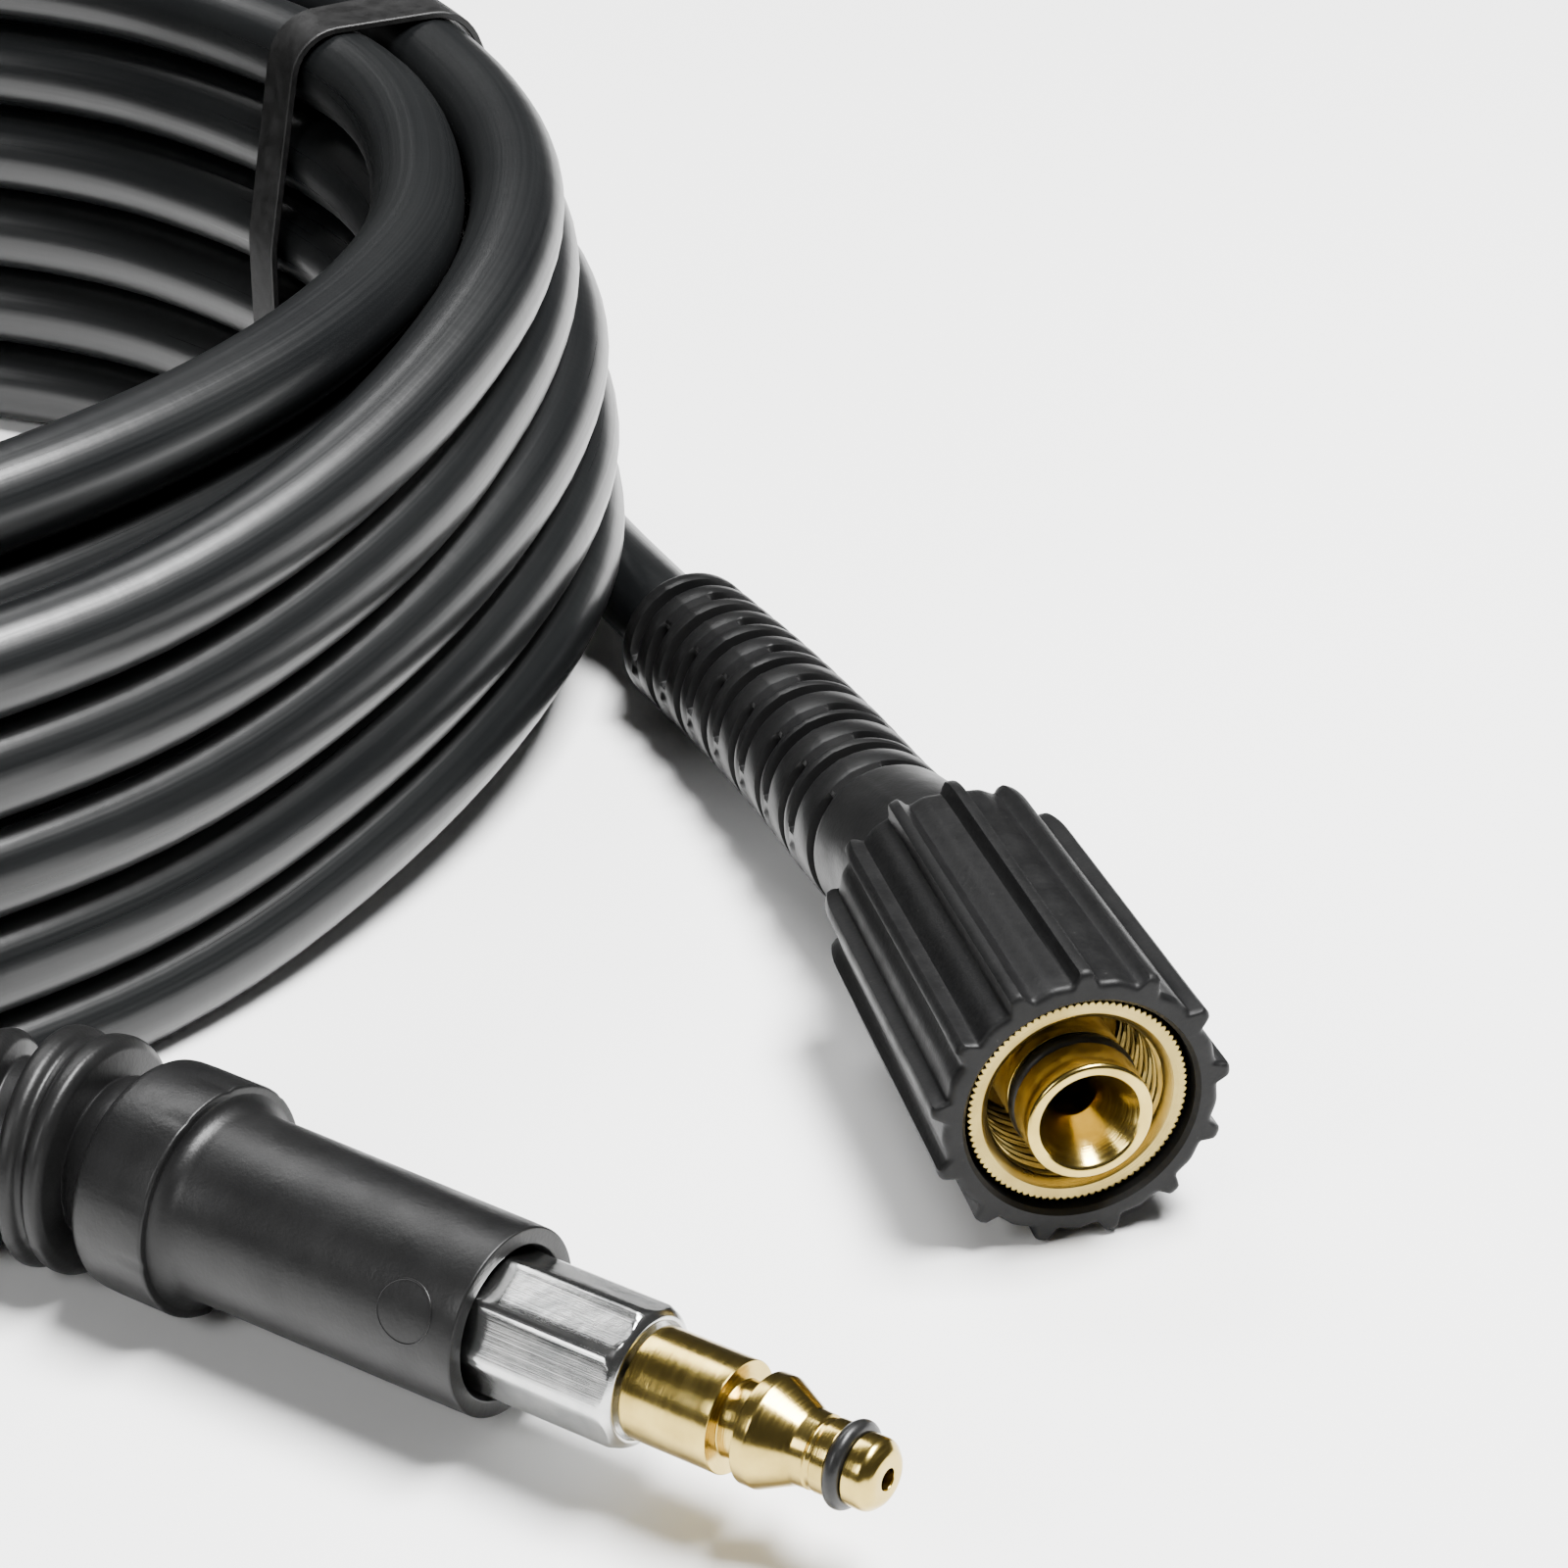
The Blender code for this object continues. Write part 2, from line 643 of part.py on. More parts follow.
def coil_end():
    """The turn where the hose leaves the coil, a little before the plug's bend protector."""
    end = plug_bend(bellows_length())[0]
    turned = OUTWARD_TURN + 290.0
    while hose_point(turned).x > end.x - PLUG_END_LEAD:
        turned -= 0.5
    return turned


def plug_end_route():
    """From where the hose comes out from under the coil to the plug's bend protector."""
    start = OUTWARD_TURN + WAY_OUT[1] + 4.0
    count = 13
    last = coil_end()
    lying = [hose_point(start + (last - start) * index / (count - 1)) for index in range(count)]
    end, back = plug_bend(bellows_length() + GAP)
    before = end + back * HOSE_DIAMETER / 3
    way = hose_point(last) - hose_point(last - 2.0)
    return lying + hermite(lying[-1], way, before, -back, 8)[1:] + [end]


def place_coil(axis_height):
    """Moves the coil's centre until its outside just clears both bend protectors."""
    reach = COLUMN_PITCH + HOSE_DIAMETER / 2
    boot = [(boot_point(along, axis_height), radius) for along, radius in boot_profile()[-9:]]
    bellows = [(plug_bend(distance)[0], radius) for distance, radius in bellows_profile()[-12:]]
    for _ in range(12):
        beside = min(nearest_oval(place.xy) - radius for place, radius in boot)
        COIL_CENTRE.x += beside - reach - CLEAR_OF_NUT_END
        before = min(nearest_oval(place.xy) - radius for place, radius in bellows)
        COIL_CENTRE.y -= before - reach - CLEAR_OF_PLUG_END


def outside_coil(points):
    """The start of the route, cut where the tube's end comes up to the coil's ring."""
    half = HOSE_DIAMETER / 2
    before = nearest_oval(points[0].xy)
    count = 1
    while True:
        here = nearest_oval(points[count].xy)
        slope = min((before - here) / (points[count] - points[count - 1]).length, 1.0)
        reach = half * math.sqrt(1.0 - slope * slope)
        if here < COLUMN_PITCH + half + reach + 2 * GAP:
            return [points[0], points[count // 2], points[count - 1]]
        before = here
        count += 1


def strap_loop(angle, thickness):
    """The strap's inner outline at an angle, or its outer one if given its thickness."""
    reach = HOSE_DIAMETER / 2 + 3 * GAP + thickness
    top = (INNER_LEVELS - 1.0) * LEVEL_PITCH + HOSE_DIAMETER + 3 * GAP + thickness
    left, right = -inner_slack(angle) - reach, COLUMN_PITCH + reach
    points = []
    for offset, height in rounded(left, right, STRAP_THICKNESS - thickness, top, 0.0015 + thickness):
        place = on_oval(angle, offset)
        points.append((place.x, place.y, height))
    return points


def strap(finish, parent):
    """The flat band round the coil's two columns."""
    edge = math.degrees(STRAP_WIDTH / 2 / OVAL_SHORT)
    near, far = STRAP_ANGLE - edge, STRAP_ANGLE + edge
    rings = [strap_loop(near, 0.0), strap_loop(near, STRAP_THICKNESS)]
    rings += [strap_loop(far, STRAP_THICKNESS), strap_loop(far, 0.0)]
    return loft("strap", rings, finish, Matrix(), parent, closed=True)


def rounded(left, right, low, high, corner):
    """A rectangle with round corners, as points."""
    points = []
    for x, y, start in (
        (right - corner, high - corner, 0.0),
        (left + corner, high - corner, 90.0),
        (left + corner, low + corner, 180.0),
        (right - corner, low + corner, 270.0),
    ):
        for index in range(4):
            angle = math.radians(start + 30.0 * index)
            points.append((x + corner * math.cos(angle), y + corner * math.sin(angle)))
    return points


def centre_over_origin(pieces, root):
    """Moves the whole so that the pieces' box stands centred on the origin."""
    bpy.context.view_layer.update()
    corners = [piece.matrix_world @ vertex.co for piece in pieces for vertex in piece.data.vertices]
    low = Vector([min(corner[axis] for corner in corners) for axis in range(3)])
    high = Vector([max(corner[axis] for corner in corners) for axis in range(3)])
    root.location = (-(low.x + high.x) / 2, -(low.y + high.y) / 2, -low.z)


def main():
    for old in list(bpy.data.objects):
        bpy.data.objects.remove(old)
    axis_height = nut_axis_height()
    place_coil(axis_height)
    root = bpy.data.objects.new("whole_hose", None)
    bpy.context.scene.collection.objects.link(root)

    rubber = material("hose_rubber", (0.018, 0.019, 0.020), 0.42)
    moulded = material("moulded_black", (0.022, 0.022, 0.023), 0.50)
    grip = material("grip_black", (0.020, 0.020, 0.021), 0.55)
    band = material("strap_black", (0.020, 0.020, 0.020), 0.40)
    brass = material("brass", (0.80, 0.58, 0.24), 0.22, 1.0)
    plated = material("plated_steel", (0.74, 0.74, 0.73), 0.18, 1.0)
    seal_rubber = material("seal_rubber", (0.012, 0.012, 0.012), 0.35)

    axis = Matrix.Translation((0.0, 0.0, axis_height)) @ Matrix.Rotation(math.pi / 2, 4, "Z")
    swivel = bpy.data.objects.new("nut_swivel", None)
    swivel.matrix_world = axis
    swivel.parent = root
    bpy.context.scene.collection.objects.link(swivel)
    groove_radius = NIPPLE_RADIUS - SEAL_DEPTH
    screw_fitting = [
        nut_shell(grip, Matrix(), swivel),
        thread_insert(brass, Matrix(), swivel),
        nipple(brass, axis, root),
        seal("seal_nut_end", SEAL_START, SEAL_WIDTH, groove_radius, NIPPLE_RADIUS + GAP, seal_rubber, axis, root),
        nut_boot(moulded, axis_height, root),
    ]

    home = plug_frame()
    plug_sleeve(moulded, home, root)
    crimp_ferrule(plated, home, root)
    _, seal_start = brass_plug(brass, home, root)
    groove_radius = PLUG_NECK_RADIUS - PLUG_SEAL_DEPTH
    seal("seal_plug_end", seal_start, PLUG_SEAL_WIDTH, groove_radius, PLUG_SEAL_RADIUS, seal_rubber, home, root)
    plug_bellows(moulded, root)

    hose_coil(rubber, root)
    hose_tube("hose_nut_end", outside_coil(nut_end_route(axis_height)), rubber, root)
    hose_tube("hose_plug_end", plug_end_route(), rubber, root)
    strap(band, root)
    centre_over_origin(screw_fitting, root)


main()
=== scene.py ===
"""A coiled high-pressure hose, with a ribbed screw fitting and a push-in plug on its ends."""

import math

import bpy
import numpy as np
from mathutils import Matrix, Vector


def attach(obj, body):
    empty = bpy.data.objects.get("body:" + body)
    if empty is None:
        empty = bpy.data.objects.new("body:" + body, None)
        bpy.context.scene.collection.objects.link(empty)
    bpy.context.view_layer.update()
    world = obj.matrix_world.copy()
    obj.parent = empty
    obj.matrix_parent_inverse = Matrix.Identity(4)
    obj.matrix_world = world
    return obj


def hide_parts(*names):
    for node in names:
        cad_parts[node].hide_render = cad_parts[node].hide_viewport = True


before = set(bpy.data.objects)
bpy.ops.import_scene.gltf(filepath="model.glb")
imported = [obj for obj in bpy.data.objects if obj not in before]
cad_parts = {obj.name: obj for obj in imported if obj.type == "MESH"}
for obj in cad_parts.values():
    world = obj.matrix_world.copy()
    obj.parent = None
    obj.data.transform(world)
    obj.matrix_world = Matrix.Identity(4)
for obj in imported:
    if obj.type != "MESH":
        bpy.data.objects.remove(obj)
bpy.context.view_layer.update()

# Sizes are in metres and angles in degrees.
# Everything is laid out from the nut's front face and the floor, then moved by SHIFT.

SHIFT = Vector((0.00046, -0.06974, 0.0))
AXIS_HEIGHT = 0.017628

HOSE_DIAMETER = 0.0125
LEVEL_PITCH = 0.0127
COLUMN_PITCH = 0.0131
OUTSIDE_OFFSET = 0.0266
COIL_CENTRE = (-0.174131, 0.180358)
OVAL_LONG = 0.1415
OVAL_LONG_LEFT = 0.1125
OVAL_SHORT = 0.1168
OVAL_TILT = 13.5
INNER_SLACK = 0.0135
TAIL_FALL = 0.42
OUTER_LEVELS = 5
INNER_LEVELS = 6
COIL_START = 25.0
COIL_END = 4220.5
FAN_LEVELS = (1.0, 2.0, 3.0, 4.0, 5.0, 6.0)
FAN_OFFSETS = (0.0040, 0.0050, 0.0046, 0.0030, -0.0012, -0.0060)
TOP_TURN_OUT = 0.0044
STEP_UP = (-60.0, -12.0)
STEP_DOWN = (210.0, 255.0)
CROSS_IN = (197.0, 235.0)
WAY_OUT = (190.0, 235.0)
HUMP_RISE = (160.0, 203.0)
HUMP_FALL = (225.0, 260.0)
INWARD_TURN = 360.0 * OUTER_LEVELS
OUTWARD_TURN = INWARD_TURN + 360.0 * INNER_LEVELS
HOSE_SIDES = 28
HOSE_STEP = 2.6
HOSE_RIDGE = 0.00012
HOSE_UNEVENNESS = 0.00003
STRAP_ANGLE = 13.0
STRAP_WIDTH = 0.010
STRAP_THICKNESS = 0.0010
STRAP_LIFT = 0.0013

NUT_LENGTH = 0.0515
NUT_FRONT_RADIUS = 0.0179
NUT_REAR_RADIUS = 0.0163
NUT_RIBS = 13
NUT_RIB_HEIGHT = 0.0016
NUT_BEVEL = 0.0009
NUT_REAR_STEP = 0.0013
NUT_REAR_START = 0.0455
NUT_REAR_BORE = 0.0127
NUT_REAR_BORE_END = 0.0440
NUT_RUNNING_GAP = 0.0004
NUT_SHOULDER = 0.0208
INSERT_RADIUS = 0.0133
INSERT_RECESS = 0.0015
INSERT_LENGTH = 0.0190
INSERT_BACK_BORE = 0.0074
THREAD_PITCH = 0.0015
THREAD_RADIUS = 0.01055
THREAD_DEPTH = 0.00070
KNURL_TEETH = 96
KNURL_DEPTH = 0.00050
NIPPLE_RADIUS = 0.00745
NIPPLE_FRONT = -0.0030
NIPPLE_BORE = 0.0025
NIPPLE_END = 0.0307

BOOT_START = 0.0310
BOOT_BEND_START = 0.0500
BOOT_LENGTH = 0.0910
BOOT_ASIDE = (0.0, -0.0019, -0.0032, -0.0056, -0.0094)
BOOT_SUNK = (0.0, 0.44, 0.69, 0.87, 1.0)
BOOT_FRONT_RADIUS = 0.0107
BOOT_REAR_RADIUS = 0.0097
BOOT_OFF_FLOOR = 0.0002
BOOT_ROLL = 22.5
BOOT_SLOTS_OVER = (0.1370, 0.1275, 0.1180, 0.1080, 0.0980, 0.0880, 0.0775)
BOOT_SLOTS_BESIDE = (0.1320, 0.1225, 0.1125, 0.1020, 0.0915, 0.0815, 0.0705)
BOOT_SLOT_WIDTH = 0.0020
BOOT_SLOT_DEPTH = 0.0026
BOOT_SLOT_REACH = 0.0013
BOOT_SPAN_OVER = 65.0
BOOT_SPAN_BESIDE = 69.0
BOOT_BUMP_ANGLE = 78.0
BOOT_BUMP_HEIGHT = 0.0005

PLUG_PLACE = (-0.0702, -0.0185, 0.0141)
PLUG_HEADING = -50.63
PLUG_BEND_RADIUS = 0.048
SLEEVE_LENGTH = 0.0405
SLEEVE_FRONT_RADIUS = 0.01075
SLEEVE_REAR_RADIUS = 0.0110
COLLAR_RADIUS = 0.0136
COLLAR_LENGTH = 0.0105
FERRULE_ACROSS_FLATS = 0.0152
FERRULE_INSIDE_SLEEVE = 0.0100
FERRULE_STANDS_OUT = 0.0183
BELLOWS_LENGTH = 0.0471
BELLOWS_DROP = 0.0025
BELLOWS_VALLEY = 0.0094
MARK_PLACE = -0.0066
MARK_ANGLE = 24.0
MARK_RADIUS = 0.0035

# The stage, the camera and the range that noise is stretched from.

FLOOR_REACH = 3.0
FLOOR_DROP = 0.0002
CAMERA_PLACE = (-0.15684, -0.50503, 0.310635)
CAMERA_PITCH = 61.433
CAMERA_HEADING = -15.70
CAMERA_LENS = 111.19
CAMERA_SENSOR = 36.0
WORLD_STRENGTH = 0.07
NOISE_LOW, NOISE_HIGH = 0.3, 0.7


def ease(value, low, high):
    """0 below low, 1 above high, and a smooth step between."""
    share = np.clip((np.asarray(value, float) - low) / (high - low), 0.0, 1.0)
    return share * share * (3.0 - 2.0 * share)


# How the hose is wound. Its angles go on past 360 from turn to turn.


def inner_slack(angle):
    around = (angle + 180.0) % 360.0 - 180.0
    return INNER_SLACK * ease(around, -25.0, 30.0) * (1.0 - ease(around, 110.0, 175.0))


def hump(angle):
    around = angle % 360.0
    return ease(around, *HUMP_RISE) * (1.0 - ease(around, *HUMP_FALL))


def strand(turned):
    """How far outside the oval the hose lies, and on which level, after it has turned so far."""
    if turned < INWARD_TURN + HUMP_FALL[1]:
        inward = ease(turned, INWARD_TURN + CROSS_IN[0], INWARD_TURN + CROSS_IN[1])
        offset = COLUMN_PITCH * (1.0 - inward) - inner_slack(turned) * inward
        steps = [360.0 * (turn + 1) for turn in range(OUTER_LEVELS)]
        level = 1.0 + sum(ease(turned, step + STEP_UP[0], step + STEP_UP[1]) for step in steps)
        offset += wander(turned) * (1.0 - 2.0 * inward)
        offset += fan(turned, level) * (1.0 - inward)
        return offset, level + (hump(turned) if turned > HUMP_RISE[0] else 0.0)
    outward = ease(turned, OUTWARD_TURN + WAY_OUT[0], OUTWARD_TURN + WAY_OUT[1])
    offset = OUTSIDE_OFFSET * outward - inner_slack(turned) * (1.0 - outward)
    steps = [INWARD_TURN + 360.0 * (turn + 1) for turn in range(INNER_LEVELS - 1)]
    level = INNER_LEVELS
    level -= sum(ease(turned, step + STEP_DOWN[0], step + STEP_DOWN[1]) for step in steps)
    offset += inner_fan(turned, level) * (1.0 - outward)
    return offset - 1.2 * wander(turned) * (1.0 - outward), level


def fan(angle, level):
    """How far the turns spread on the coil's right: low ones outwards, top ones inwards."""
    around = (angle + 180.0) % 360.0 - 180.0
    back = 1.0 - ease(around, 60.0, 115.0)
    apart = float(np.interp(level, FAN_LEVELS, FAN_OFFSETS))
    if apart > 0.0:
        return apart * ease(around, -48.0, -12.0) * back
    return apart * ease(around, -27.0, 12.0) * back


def inner_fan(angle, level):
    """How far the inner column's top turns lie outwards, beside the outer column's."""
    around = (angle + 180.0) % 360.0 - 180.0
    share = ease(around, -14.0, 14.0) * (1.0 - ease(around, 45.0, 100.0))
    return TOP_TURN_OUT * share * ease(level, 4.0, 6.0)


def wander(turned):
    """The small slips of each turn against its neighbours."""
    around = turned % 360.0
    beside_fitting = ease(around, 225.0, 250.0) * (1.0 - ease(around, 285.0, 310.0))
    swing = math.radians(turned)
    slip = 0.5 + 0.5 * math.sin(0.37 * swing + 1.3 * math.sin(0.11 * swing))
    return 0.0005 * slip * (1.0 - beside_fitting)


def on_oval(angle, offset):
    """A point at a distance outside the oval that the inner column follows."""
    along = math.radians(angle - OVAL_TILT)
    long = OVAL_LONG if math.cos(along) > 0.0 else OVAL_LONG_LEFT
    x, y = long * math.cos(along), OVAL_SHORT * math.sin(along)
    outward = Vector((math.cos(along) / long, math.sin(along) / OVAL_SHORT)).normalized()
    place = Vector((x, y)) + float(offset) * outward
    place.rotate(Matrix.Rotation(math.radians(OVAL_TILT), 2))
    return place + Vector(COIL_CENTRE)


def strap_lift(angle):
    """How far the strap's underside lifts the hose that lies on it."""
    away = abs((angle - STRAP_ANGLE + 180.0) % 360.0 - 180.0)
    return STRAP_LIFT * (1.0 - ease(away, 6.0, 55.0))


def hose_point(turned):
    offset, level = strand(turned)
    place = on_oval(turned, offset)
    height = HOSE_DIAMETER / 2 + float(level - 1.0) * LEVEL_PITCH + strap_lift(turned)
    return Vector((place.x, place.y, height))


def hermite(start, start_way, end, end_way, count):
    """A smooth curve from start to end, both included, leaving and arriving along the two ways."""
    reach = (end - start).length
    points = []
    for index in range(count):
        t = index / (count - 1)
        points.append(
            start * (2 * t**3 - 3 * t**2 + 1)
            + start_way.normalized() * reach * (t**3 - 2 * t**2 + t)
            + end * (3 * t**2 - 2 * t**3)
            + end_way.normalized() * reach * (t**3 - t**2)
        )
    return points


def through(values, share):
    """A smooth line through evenly spaced values, at a share of the way from first to last."""
    place = min(max(share, 0.0), 1.0) * (len(values) - 1)
    index = min(int(place), len(values) - 2)
    t = place - index
    before = values[max(index - 1, 0)]
    start, end = values[index], values[index + 1]
    after = values[index + 2] if index + 2 < len(values) else 2 * end - start
    rise, run_out = (end - before) / 2, (after - start) / 2
    if index == 0:
        rise = 0.0
    return (
        start * (2 * t**3 - 3 * t**2 + 1) + rise * (t**3 - 2 * t**2 + t)
        + end * (3 * t**2 - 2 * t**3) + run_out * (t**3 - t**2)
    )


def boot_point(along):
    """A point of the bend protector's line, by its distance behind the nut's front face."""
    share = (along - BOOT_BEND_START) / BOOT_LENGTH
    lying = BOOT_REAR_RADIUS + BOOT_OFF_FLOOR
    height = AXIS_HEIGHT + (lying - AXIS_HEIGHT) * through(BOOT_SUNK, share)
    return Vector((through(BOOT_ASIDE, share), along, height))


def boot_way(along):
    return (boot_point(along + 0.0001) - boot_point(along - 0.0002)).normalized()


def plug_bend(distance):
    """Place and way back along the plug's bend protector, at a distance behind the collar."""
    start = plug_frame() @ Vector((-SLEEVE_LENGTH - COLLAR_LENGTH, 0, 0))
    heading = math.radians(PLUG_HEADING)
    angle = distance / PLUG_BEND_RADIUS
    ahead = Vector((math.cos(heading), math.sin(heading), 0.0))
    right = Vector((ahead.y, -ahead.x, 0.0))
    place = start + right * PLUG_BEND_RADIUS * (1 - math.cos(angle))
    place -= ahead * PLUG_BEND_RADIUS * math.sin(angle)
    place.z -= BELLOWS_DROP * (distance / BELLOWS_LENGTH) ** 2
    return place, right * math.sin(angle) - ahead * math.cos(angle)


def hose_route():
    """The hose's centre line from inside one bend protector to inside the other."""
    boot_end = BOOT_BEND_START + BOOT_LENGTH
    way = boot_way(boot_end - 0.0002)
    start = boot_point(boot_end)
    end = hose_point(COIL_START)
    end_way = hose_point(COIL_START + 2.0) - hose_point(COIL_START - 2.0)
    points = hermite(start, way, end, end_way, 26)
    for index, point in enumerate(points):
        point.z = start.z + (end.z - start.z) * float(ease(index / 25, 0.0, TAIL_FALL))
    points = [start - way * 0.006, start - way * 0.003] + points
    count = int((COIL_END - COIL_START) / HOSE_STEP)
    step = (COIL_END - COIL_START) / count
    points += [hose_point(COIL_START + step * index) for index in range(1, count + 1)]
    last, back = plug_bend(BELLOWS_LENGTH + 0.0003)
    before = last + back * HOSE_DIAMETER / 3
    way = hose_point(COIL_END) - hose_point(COIL_END - 2.0)
    points += hermite(points[-1], way, before, -back, 9)[1:]
    return points + [last, last - back * 0.005]


# Making meshes


def soften(corners, closed=True, steps=4):
    """Rounds the corners of a profile. Each corner is (along, radius, rounding)."""
    points = []
    count = len(corners)
    for index, (along, radius, rounding) in enumerate(corners):
        here = np.array((along, radius))
        ends = not closed and index in (0, count - 1)
        if ends or rounding <= 0.0:
            points.append(here)
            continue
        before = np.array(corners[index - 1][:2]) - here
        after = np.array(corners[(index + 1) % count][:2]) - here
        reach = min(rounding, 0.45 * np.linalg.norm(before), 0.45 * np.linalg.norm(after))
        start = here + before / np.linalg.norm(before) * reach
        end = here + after / np.linalg.norm(after) * reach
        for step in range(steps + 1):
            t = step / steps
            points.append(start * (1 - t) ** 2 + here * 2 * t * (1 - t) + end * t**2)
    return np.array(points)


def skin(rings, closed):
    """Vertices and faces for a grid of rings, which is a closed loop or a tube with two caps."""
    count, sides = rings.shape[:2]
    faces = []
    for row in range(count if closed else count - 1):
        lower, upper = row * sides, (row + 1) % count * sides
        for column in range(sides):
            after = (column + 1) % sides
            faces.append((lower + column, lower + after, upper + after, upper + column))
    if not closed:
        faces.append(tuple(reversed(range(sides))))
        faces.append(tuple(range((count - 1) * sides, count * sides)))
    return rings.reshape(-1, 3), faces


def looks_inwards(points, faces):
    """Whether a shell's faces look into the volume that they enclose."""
    fans = [
        (face[0], face[index], face[index + 1])
        for face in faces
        for index in range(1, len(face) - 1)
    ]
    first, second, third = points[np.array(fans)].transpose(1, 0, 2)
    return np.einsum("ij,ij->", first, np.cross(second, third)) < 0.0


def add_piece(name, shells, finish, body, nodes, sharp=40.0):
    """One mesh piece from grids of rings. Each shell is (rings, closed)."""
    points, faces, layout = [], [], []
    for rings, closed in shells:
        rings = np.asarray(rings, float)
        shell_points, shell_faces = skin(rings, closed)
        flipped = looks_inwards(shell_points, shell_faces)
        start = len(points)
        sides = rings.shape[1]
        lengths = np.linalg.norm(np.diff(rings[:, 0], axis=0), axis=1)
        along = np.concatenate([[0.0], np.cumsum(lengths)])
        for face in shell_faces:
            rows = [index // sides for index in face]
            columns = [index % sides for index in face]
            if len(face) == 4 and max(columns) - min(columns) > 1:
                columns = [column if column else sides for column in columns]
            around = [2 * math.pi * column / sides for column in columns]
            flat = [(along[row], turn) for row, turn in zip(rows, around)]
            if closed and len(face) == 4 and max(rows) - min(rows) > 1:
                flat = [(0.0, turn) for turn in around]
            order = list(range(len(face)))
            if flipped:
                order.reverse()
            faces.append([start + face[index] for index in order])
            layout += [flat[index] for index in order]
        points += [tuple(point) for point in shell_points]
    mesh = bpy.data.meshes.new(name)
    mesh.from_pydata([Vector(point) + SHIFT for point in points], [], faces)
    sheet = mesh.uv_layers.new(name="along_and_around")
    sheet.data.foreach_set("uv", np.array(layout, np.float32).ravel())
    mesh.polygons.foreach_set("use_smooth", [True] * len(mesh.polygons))
    mesh.set_sharp_from_angle(angle=math.radians(sharp))
    mesh.materials.append(finish)
    mesh.update()
    piece = bpy.data.objects.new(name, mesh)
    bpy.context.scene.collection.objects.link(piece)
    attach(piece, body)
    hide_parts(*nodes)
    return piece


def lathe(profile, home, sides, radial=None):
    """Rings of a turned piece about its own X, whose stations and radii radial() may change."""
    angles = 2 * math.pi * np.arange(sides) / sides
    rings = []
    for along, radius in profile:
        radii = np.full(sides, radius)
        stations = np.full(sides, along)
        if radial:
            stations, radii = radial(stations, angles, radii)
        ring = np.stack([stations, radii * np.cos(angles), radii * np.sin(angles)], 1)
        rings.append(ring)
    turn = np.array(home)
    return np.asarray(rings) @ turn[:3, :3].T + turn[:3, 3]


def swept(points, ways, radii):
    """Rings round a line of points, with a row of radii each, from the right over the top."""
    rings = []
    radii = np.asarray(radii)
    angles = 2 * math.pi * np.arange(radii.shape[1]) / radii.shape[1]
    for point, way, row in zip(points, ways, radii):
        side = way.cross(Vector((0.0, 0.0, 1.0))).normalized()
        top = side.cross(way)
        across = np.outer(row * np.cos(angles), side) + np.outer(row * np.sin(angles), top)
        rings.append(np.array(point) + across)
    return np.array(rings)


def nut_frame():
    return Matrix.Translation((0.0, 0.0, AXIS_HEIGHT)) @ Matrix.Rotation(math.pi / 2, 4, "Z")


def plug_frame():
    return Matrix.Translation(PLUG_PLACE) @ Matrix.Rotation(math.radians(PLUG_HEADING), 4, "Z")


# Finishes


def wire(tree, start, end):
    tree.links.new(start, end)


def noise(tree, coordinates, scale, detail, stretch=None):
    node = tree.nodes.new("ShaderNodeTexNoise")
    node.inputs["Scale"].default_value = scale
    node.inputs["Detail"].default_value = detail
    if stretch:
        mapping = tree.nodes.new("ShaderNodeMapping")
        mapping.inputs["Scale"].default_value = stretch
        wire(tree, coordinates, mapping.inputs["Vector"])
        coordinates = mapping.outputs["Vector"]
    wire(tree, coordinates, node.inputs["Vector"])
    return node.outputs["Fac"]


def ramp(tree, source, stops):
    node = tree.nodes.new("ShaderNodeValToRGB")
    while len(node.color_ramp.elements) < len(stops):
        node.color_ramp.elements.new(0.5)
    for element, (place, colour) in zip(node.color_ramp.elements, stops):
        element.position = place
        element.color = (*colour, 1.0)
    wire(tree, source, node.inputs["Fac"])
    return node.outputs["Color"]


def spread(tree, source, low, high):
    node = tree.nodes.new("ShaderNodeMapRange")
    node.inputs["From Min"].default_value = NOISE_LOW
    node.inputs["From Max"].default_value = NOISE_HIGH
    node.inputs["To Min"].default_value = low
    node.inputs["To Max"].default_value = high
    wire(tree, source, node.inputs["Value"])
    return node.outputs["Result"]


def bump(tree, height, strength, distance, under=None):
    node = tree.nodes.new("ShaderNodeBump")
    node.inputs["Strength"].default_value = strength
    node.inputs["Distance"].default_value = distance
    wire(tree, height, node.inputs["Height"])
    if under:
        wire(tree, under, node.inputs["Normal"])
    return node.outputs["Normal"]


def new_finish(name, metallic=0.0, specular=0.30):
    made = bpy.data.materials.new(name + "_look")
    made.use_nodes = True
    tree = made.node_tree
    shader = tree.nodes["Principled BSDF"]
    shader.inputs["Metallic"].default_value = metallic
    shader.inputs["Specular IOR Level"].default_value = specular
    places = tree.nodes.new("ShaderNodeTexCoord")
    return made, tree, shader, places.outputs["Object"], places.outputs["UV"]


